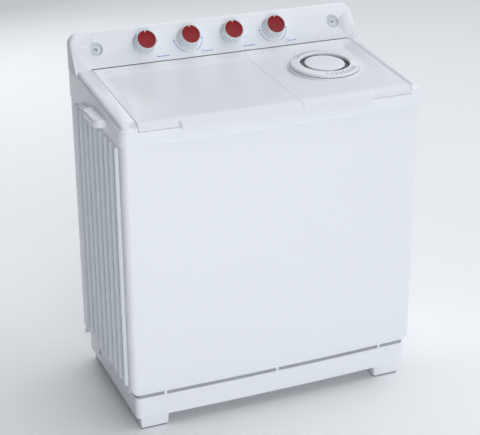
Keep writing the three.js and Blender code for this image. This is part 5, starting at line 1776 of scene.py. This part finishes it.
def pulsator_height(radius, angle):
    """The pulsator's upper face: a dished plate with six swept vanes and a centre cone."""
    reach = radius / (145 * MM)
    base = 9 * MM + 5 * MM * reach**2
    dome = 17 * MM * smooth((0.34 - reach) / 0.2)
    twist = angle - 0.5 * reach
    wave = cos(3 * twist)
    vane = max(0.0, wave) ** 6 * 18 * MM * smooth((reach - 0.16) / 0.18) * smooth((0.99 - reach) / 0.16)
    dimple = max(0.0, -wave) ** 3 * 4 * MM * smooth((reach - 0.3) / 0.2) * smooth((0.9 - reach) / 0.2)
    return base + dome + vane - dimple


def make_pulsator():
    low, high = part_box("pulsator")
    outer = (high.x - low.x) / 2
    rows = []
    for radius, z in ((0.0, 0.6), (120, 0.6), (122, 1.2), (141, 5), (144.2, 8), (145, 11)):
        rows.append(circle(min(radius * MM, outer), z * MM, 144))
    for radius in spread(outer - 0.6 * MM, 0.0, 32):
        rows.append(
            [
                (radius * cos(a), radius * sin(a), pulsator_height(radius, a))
                for a in spread(0, TURN, 145)[:-1]
            ]
        )
    top = low.z + 0.3 * MM
    scale = min(1.0, (high.z - low.z - 1 * MM) / (44 * MM))
    place = at(PULSATOR_X, PULSATOR_Y, top) @ Matrix.Diagonal((1, 1, scale, 1))
    disc = Stock().add(sheet(rows, loop=True), place).piece("pulsator_disc", sharp=60)
    settle(disc, "blue_plastic", "pulsator_rotor", ["pulsator"])
    nut = [
        (0.0, 22 * MM),
        (13 * MM, 22 * MM),
        (13 * MM, 29 * MM),
        (11 * MM, 32 * MM),
        (4 * MM, 33 * MM),
        (0.0, 33 * MM),
    ]
    settle(
        Stock().add(turned(nut, 6), place).piece("pulsator_nut", sharp=30), "blue_plastic", "pulsator_rotor"
    )


def make_filter():
    """The lint filter's frame, rim and net, and the overflow cover in front of it."""
    low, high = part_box("lint_filter")
    outline = rounded(low.y, high.y, low.z, high.z, 9 * MM)
    windows = []
    for row in range(9):
        for column in range(7):
            y0 = low.y + 12 * MM + column * 8.7 * MM
            z0 = low.z + 22 * MM + row * 12.6 * MM
            windows.append(rounded(y0, y0 + 7.2 * MM, z0, z0 + 10.8 * MM, 1.4 * MM, 2))
    middle = (low.x + high.x) / 2
    frame_part = Stock().add(sideways(plate(outline, windows, middle - 1.6 * MM, middle + 1.6 * MM)))
    rim = [
        rounded(low.y + d * MM, high.y - d * MM, low.z + d * MM, high.z - d * MM, (9 - d) * MM, 6)
        for d in (0, 4)
    ]
    x0, x1 = low.x + 0.8 * MM, high.x - 0.8 * MM
    rows = [[(x, y, z) for y, z in rim[i]] for x, i in ((x0, 0), (x1, 0), (x1, 1), (x0, 1), (x0, 0))]
    frame_part.add(sheet(rows, loop=True))
    frame_part.add(
        block(
            low.x + 0.4 * MM,
            low.x + 3 * MM,
            low.y + 24 * MM,
            high.y - 24 * MM,
            high.z - 16 * MM,
            high.z - 4 * MM,
        )
    )
    settle(frame_part.piece("lint_filter_frame"), "blue_plastic", "lint_filter", ["lint_filter"])
    net = Stock()
    for i in range(30):
        z = low.z + 14 * MM + i * (high.z - low.z - 28 * MM) / 29
        net.add(swept([(middle, low.y + 5 * MM, z), (middle, high.y - 5 * MM, z)], 0.35 * MM, 5))
    for i in range(20):
        y = low.y + 8 * MM + i * (high.y - low.y - 16 * MM) / 19
        net.add(swept([(middle, y, low.z + 12 * MM), (middle, y, high.z - 16 * MM)], 0.35 * MM, 5))
    settle(net.piece("lint_filter_net"), "tub_plastic", "lint_filter")
    low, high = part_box("overflow_guard")
    grille = Stock()
    outline = rounded(low.y, high.y, low.z, high.z, 5 * MM)
    slots = []
    for i in range(9):
        z = low.z + 14 * MM + i * 10.3 * MM
        slots.append(capsule(low.y + 6 * MM, high.y - 6 * MM, z, 2.4 * MM, 3))
    grille.add(sideways(plate(outline, slots, low.x + 0.3 * MM, high.x - 0.3 * MM)))
    settle(
        soften(grille.piece("overflow_cover"), 0.4 * MM, 2, angle=60),
        "tub_plastic",
        replaces=["overflow_guard"],
    )


# ---- Spin side ----


def make_spin_tub():
    """The spin side's stationary tub: rolled rim, plain wall, sump floor."""
    low, high = DRUM_LOW, DRUM_HIGH
    wide, tall = (high.x - low.x) / 2 / MM, (high.z - low.z) / MM
    profile = [(17, 4), (26, 4), (34, 10), (100, 3), (120, 1.5), (148, 10), (wide - 1, 30)]
    profile += [(wide - 0.5, 60), (wide - 0.4, tall - 8)]
    profile += [(wide - 0.4, tall - 1), (wide - 1.6, tall), (wide - 14, tall)]
    profile += [(wide - 15.4, tall - 1.2), (wide - 15.4, tall - 10), (wide - 4, tall - 20)]
    profile += [
        (wide - 4.2, 60), (wide - 5, 34), (146, 14), (120, 6), (100, 7.5), (34, 14.5), (24, 10), (17, 10)
    ]
    place = at(BASKET_X, BASKET_Y, low.z)
    part = lathe(profile, 128, closed=True)
    settle(
        Stock().add(part, place).piece("spin_tub_shell", sharp=40), "tub_plastic", replaces=["spin_outer_tub"]
    )


def perforated_wall(radius, low, high, columns, levels, hole):
    """A cylinder wall of square cells, each with an eight-sided hole."""
    cell_u = TURN / columns
    cell_v = (high - low) / levels
    points = []
    faces = []
    index = {}

    def corner(u, v, depth):
        key = (round(u % TURN, 6) if abs(u % TURN - TURN) > 1e-5 else 0.0, round(v, 7), depth)
        if key not in index:
            index[key] = len(points)
            r = radius - depth
            points.append((r * cos(u), r * sin(u), v))
        return index[key]

    for level in range(levels):
        v0 = low + cell_v * level
        for column in range(columns):
            u0 = cell_u * column
            edge = [(0, 0), (0.5, 0), (1, 0), (1, 0.5), (1, 1), (0.5, 1), (0, 1), (0, 0.5)]
            frame_ = [(u0 + cell_u * a, v0 + cell_v * b) for a, b in edge]
            mouth = []
            for a in (225, 270, 315, 0, 45, 90, 135, 180):
                t = radians(a)
                mouth.append((u0 + cell_u / 2 + hole * cos(t) / radius, v0 + cell_v / 2 + hole * sin(t)))
            for depth in (0.0, 1.2 * MM):
                for i in range(8):
                    j = (i + 1) % 8
                    quad = (
                        corner(*frame_[i], depth),
                        corner(*frame_[j], depth),
                        corner(*mouth[j], depth),
                        corner(*mouth[i], depth),
                    )
                    faces.append(quad if depth == 0 else quad[::-1])
            for i in range(8):
                j = (i + 1) % 8
                faces.append(
                    (
                        corner(*mouth[i], 0.0),
                        corner(*mouth[j], 0.0),
                        corner(*mouth[j], 1.2 * MM),
                        corner(*mouth[i], 1.2 * MM),
                    )
                )
    return points, faces


def make_basket():
    """The perforated steel basket with its plastic rim, balance ring, floor cone and clamp nut."""
    low, high = BASKET_LOW, BASKET_HIGH
    radius = (high.x - low.x) / 2 - 3 * MM
    tall = high.z - low.z
    wide, top = radius / MM, tall / MM
    place = at(BASKET_X, BASKET_Y, low.z)
    wall = Stock()
    foot, head = 30 * MM, tall - 42 * MM
    columns, levels = ((60, 32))
    wall.add(perforated_wall(radius, foot, head, columns, levels, 3.1 * MM), place)
    settle(wall.piece("basket_wall", sharp=30), "basket_steel", "spin_rotor", ["spin_basket"])
    ribs = Stock()
    for z in (foot - 3 * MM, tall * 0.5, head):
        hoop = [(-0.2, -6), (1.6, -5), (2.2, 0), (1.6, 5), (-0.2, 6), (-1.4, 5), (-1.4, -5)]
        ribs.add(turned([(radius + r * MM, z + h * MM) for r, h in hoop], 120, closed=True), place)
    base = [(14, 1), (40, 1), (wide - 12, 3), (wide - 1.5, 12), (wide, 26), (wide - 1.4, 26)]
    base += [(wide - 3.5, 14), (wide - 14, 6.5), (50, 8), (34, 18), (26, 44), (20, 50), (14, 50)]
    ribs.add(lathe(base, 120, closed=True), place)
    settle(ribs.piece("basket_hoops", sharp=40), "basket_steel", "spin_rotor")
    rim = [(wide - 3, top - 44), (wide + 1.8, top - 44), (wide + 2.6, top - 41)]
    rim += [(wide + 2.8, top - 3), (wide + 1, top), (wide - 12, top), (wide - 17, top - 4)]
    rim += [(wide - 18, top - 16), (wide - 8, top - 40)]
    balance = Stock().add(lathe(rim, 120, closed=True), place)
    settle(balance.piece("basket_balance_ring", sharp=40), "tub_plastic", "spin_rotor")
    cone = [(0.0, 20), (21.6, 20), (21.2, 46), (19, 58), (12, 64), (0.0, 66)]
    cap = Stock().add(lathe(cone, 64), place)
    for i in range(4):
        cap.add(block(18 * MM, 23.6 * MM, -1.6 * MM, 1.6 * MM, 20 * MM, 56 * MM), place @ spun(TURN * i / 4))
    settle(cap.piece("basket_hub_cap", sharp=40), "blue_plastic", "spin_rotor")


# ---- Works inside the cabinet ----

# Edge rounding of the frame's own nodes. FINE is for those not named.
EDGES = {"wash_motor": 3 * MM, "spin_motor": 3 * MM, "v_belt": 1 * MM}
FINE = 0.6 * MM


def make_motor_shells():
    """Upright fins around both motors."""
    for name in ("wash_motor", "spin_motor"):
        low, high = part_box(name)
        across = min(high.x - low.x, high.y - low.y)
        centre = ((low.x + high.x) / 2, (low.y + high.y) / 2)
        fins = Stock()
        inner = across * 0.35
        for i in range(24):
            fin = block(inner, inner + 4 * MM, -0.9 * MM, 0.9 * MM, low.z + 22 * MM, high.z - 24 * MM)
            fins.add(fin, at(*centre) @ spun(TURN * i / 24))
        settle(fins.piece(f"{name}_fins"), "motor_iron")


def dress_nodes():
    """Gives every frame node that stays its finish and rounded edges."""
    for part in frame["record"]["subparts"]:
        node = frame["nodes"][part["node"]]
        if node.hide_render:
            continue
        node.data.materials.clear()
        node.data.materials.append(bpy.data.materials[part["material_slot"]])
        low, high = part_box(part["node"])
        least = min(high.x - low.x, high.y - low.y, high.z - low.z)
        soften(node, min(EDGES.get(part["node"], FINE), least * 0.2), 2, angle=34)


# ---- Stage ----


def make_floor_finish():
    material, tree, shader = blank("stage_floor")
    cloud = noise(tree, object_place(tree), 1.2, 3)
    tint = mixed(tree, remap(tree, cloud, 0.3, 0.7), (0.93, 0.94, 0.955, 1), (0.95, 0.955, 0.965, 1))
    wire(tree, shader, Base_Color=tint, Roughness=remap(tree, cloud, 0.3, 0.7, 0.62, 0.7))
    return material


def soft_light(name, place, target, size, power):
    data = bpy.data.lights.new(name, "AREA")
    data.shape = "RECTANGLE"
    data.size, data.size_y = size
    data.energy = power
    light = bpy.data.objects.new(name, data)
    light.location = place
    light.rotation_euler = (Vector(target) - Vector(place)).to_track_quat("-Z", "Y").to_euler()
    bpy.context.scene.collection.objects.link(light)


CAMERA_PLACE = (-1.3508, -3.2511, 2.0472)
CAMERA_AHEAD = Vector((0.34777, 0.84530, -0.40562))
CAMERA_ROLL = -0.3  # degrees
CAMERA_LENS = 100.39  # millimetres, on a sensor 36 mm wide

# name, place, target, size, power in watts
LIGHTS = (
    ("key", (-0.75, -3.8, 1.5), (0, 0, 0.5), (1.5, 1.9), 50),
    ("overhead", (2.2, 0.9, 5.0), (0.3, 0.3, 0), (8.0, 8.0), 180),
    ("right", (3.4, -0.6, 1.9), (0, 0, 0.5), (1.6, 2.0), 6),
    ("rear", (-0.4, 3.6, 1.8), (0, 0, 0.5), (2.6, 2.0), 24),
)


def make_stage():
    scene = bpy.context.scene
    scene.view_settings.view_transform = "Standard"
    world = bpy.data.worlds.new("studio")
    world.use_nodes = True
    tree = world.node_tree
    shader = tree.nodes["Background"]
    way = tree.nodes.new("ShaderNodeSeparateXYZ")
    tree.links.new(tree.nodes.new("ShaderNodeTexCoord").outputs["Generated"], way.inputs[0])
    tone = mixed(
        tree, remap(tree, way.outputs["X"], -0.75, 0.25), (0.03, 0.035, 0.045, 1), (0.80, 0.83, 0.88, 1)
    )
    tree.links.new(tone, shader.inputs["Color"])
    shader.inputs["Strength"].default_value = 0.6
    scene.world = world
    floor = Stock().add(([(-30, -30, 0), (30, -30, 0), (30, 30, 0), (-30, 30, 0)], [(0, 1, 2, 3)]))
    ground = floor.piece("stage_floor", solid=False, facing=(0, 0, 1))
    ground.data.materials.append(make_floor_finish())
    ground.location.z = -0.2 * MM
    for light in LIGHTS:
        soft_light(*light)
    view = bpy.data.cameras.new("camera")
    view.lens = CAMERA_LENS
    view.sensor_width = 36
    view.sensor_fit = "HORIZONTAL"
    view.clip_end = 100
    view.clip_start = 0.01
    camera = bpy.data.objects.new("camera", view)
    camera.location = CAMERA_PLACE
    turn = CAMERA_AHEAD.to_track_quat("-Z", "Y") @ Matrix.Rotation(
        radians(CAMERA_ROLL), 3, "Z"
    ).to_quaternion()
    camera.rotation_mode = "QUATERNION"
    camera.rotation_quaternion = turn
    scene.collection.objects.link(camera)
    scene.camera = camera


# ---- Add-on ----


class Step:
    """One building step: it calls its makers in turn"""

    makers = ()

    def execute(self, context):
        for make in self.makers:
            make()
        return {"FINISHED"}


class WASHER_OT_finishes(Step, bpy.types.Operator):
    """Make the shared surface effects and every finish"""

    bl_idname = "washer.finishes"
    bl_label = "Finishes"
    makers = (make_moulded_skin, make_edge_wear_and_painted_highlight, make_settled_dust, make_drawn_metal, make_finishes)


class WASHER_OT_panels(Step, bpy.types.Operator):
    """Build the bowed front panel, the fluted sides and the back"""

    bl_idname = "washer.panels"
    bl_label = "Panels"
    makers = (make_front_panel, make_side_panels, make_rear)


class WASHER_OT_base(Step, bpy.types.Operator):
    """Build the plinth and the feet"""

    bl_idname = "washer.base"
    bl_label = "Base"
    makers = (make_base,)


class WASHER_OT_top_frame(Step, bpy.types.Operator):
    """Build the top frame: skirt, rims, deck, pocket walls"""

    bl_idname = "washer.top_frame"
    bl_label = "Top Frame"
    makers = (make_frame_skirt, make_rims, make_deck)


class WASHER_OT_handles(Step, bpy.types.Operator):
    """Build the pull handles, the hose hook and the side screw"""

    bl_idname = "washer.handles"
    bl_label = "Handles"
    makers = (make_handles, make_side_details)


class WASHER_OT_lids(Step, bpy.types.Operator):
    """Build both lids with their ribs and hinge barrels"""

    bl_idname = "washer.lids"
    bl_label = "Lids"
    makers = (make_lids,)


class WASHER_OT_vent(Step, bpy.types.Operator):
    """Build the vent: boss, turning dial, grille and cap"""

    bl_idname = "washer.vent"
    bl_label = "Vent"
    makers = (make_vent,)


class WASHER_OT_console(Step, bpy.types.Operator):
    """Build the control console, front and back"""

    bl_idname = "washer.console"
    bl_label = "Console"
    makers = (make_console,)


class WASHER_OT_knobs(Step, bpy.types.Operator):
    """Build the four knobs"""

    bl_idname = "washer.knobs"
    bl_label = "Knobs"
    makers = (make_knobs,)


class WASHER_OT_prints(Step, bpy.types.Operator):
    """Print the marks around the knobs"""

    bl_idname = "washer.prints"
    bl_label = "Prints"
    makers = (make_prints,)


class WASHER_OT_wash_side(Step, bpy.types.Operator):
    """Build the wash tub, the pulsator, the lint filter and the overflow cover"""

    bl_idname = "washer.wash_side"
    bl_label = "Wash Side"
    makers = (make_wash_tub, make_pulsator, make_filter)


class WASHER_OT_spin_side(Step, bpy.types.Operator):
    """Build the spin tub and the perforated basket"""

    bl_idname = "washer.spin_side"
    bl_label = "Spin Side"
    makers = (make_spin_tub, make_basket)


class WASHER_OT_works(Step, bpy.types.Operator):
    """Finish the motors, drives, springs and everything else inside"""

    bl_idname = "washer.works"
    bl_label = "Works"
    makers = (make_motor_shells, dress_nodes)


class WASHER_OT_stage(Step, bpy.types.Operator):
    """Set up the floor, the lights and the camera"""

    bl_idname = "washer.stage"
    bl_label = "Stage"
    makers = (make_stage,)


STEPS = (
    WASHER_OT_finishes,
    WASHER_OT_panels,
    WASHER_OT_base,
    WASHER_OT_top_frame,
    WASHER_OT_handles,
    WASHER_OT_lids,
    WASHER_OT_vent,
    WASHER_OT_console,
    WASHER_OT_knobs,
    WASHER_OT_prints,
    WASHER_OT_wash_side,
    WASHER_OT_spin_side,
    WASHER_OT_works,
    WASHER_OT_stage,
)


class WASHER_PT_steps(bpy.types.Panel):
    """Sizes, colours and building steps of the washer"""

    bl_idname = "WASHER_PT_steps"
    bl_label = "Twin Tub Washer"
    bl_space_type = "VIEW_3D"
    bl_region_type = "UI"
    bl_category = "Washer"

    def draw(self, context):
        scene = context.scene
        for title, settings in (
            ("Shell", scene.washer_shells),
            ("Controls", scene.washer_controls),
            ("Colours", scene.washer_colours),
        ):
            box = self.layout.box()
            box.label(text=title)
            for name in settings.__annotations__:
                box.prop(settings, name)
        for step in STEPS:
            self.layout.operator(step.bl_idname)


SETTINGS = (
    ("washer_shells", WasherShellSizes),
    ("washer_controls", WasherControlSizes),
    ("washer_colours", WasherColours),
)


def register():
    for name, kind in SETTINGS:
        bpy.utils.register_class(kind)
        setattr(bpy.types.Scene, name, bpy.props.PointerProperty(type=kind))
    for kind in (*STEPS, WASHER_PT_steps):
        bpy.utils.register_class(kind)


def unregister():
    for kind in reversed((*STEPS, WASHER_PT_steps)):
        bpy.utils.unregister_class(kind)
    for name, kind in reversed(SETTINGS):
        delattr(bpy.types.Scene, name)
        bpy.utils.unregister_class(kind)


def main():
    register()
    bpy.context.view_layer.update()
    for step in STEPS:
        section, name = step.bl_idname.split(".")
        getattr(getattr(bpy.ops, section), name)()


if __name__ == "__main__":
    main()
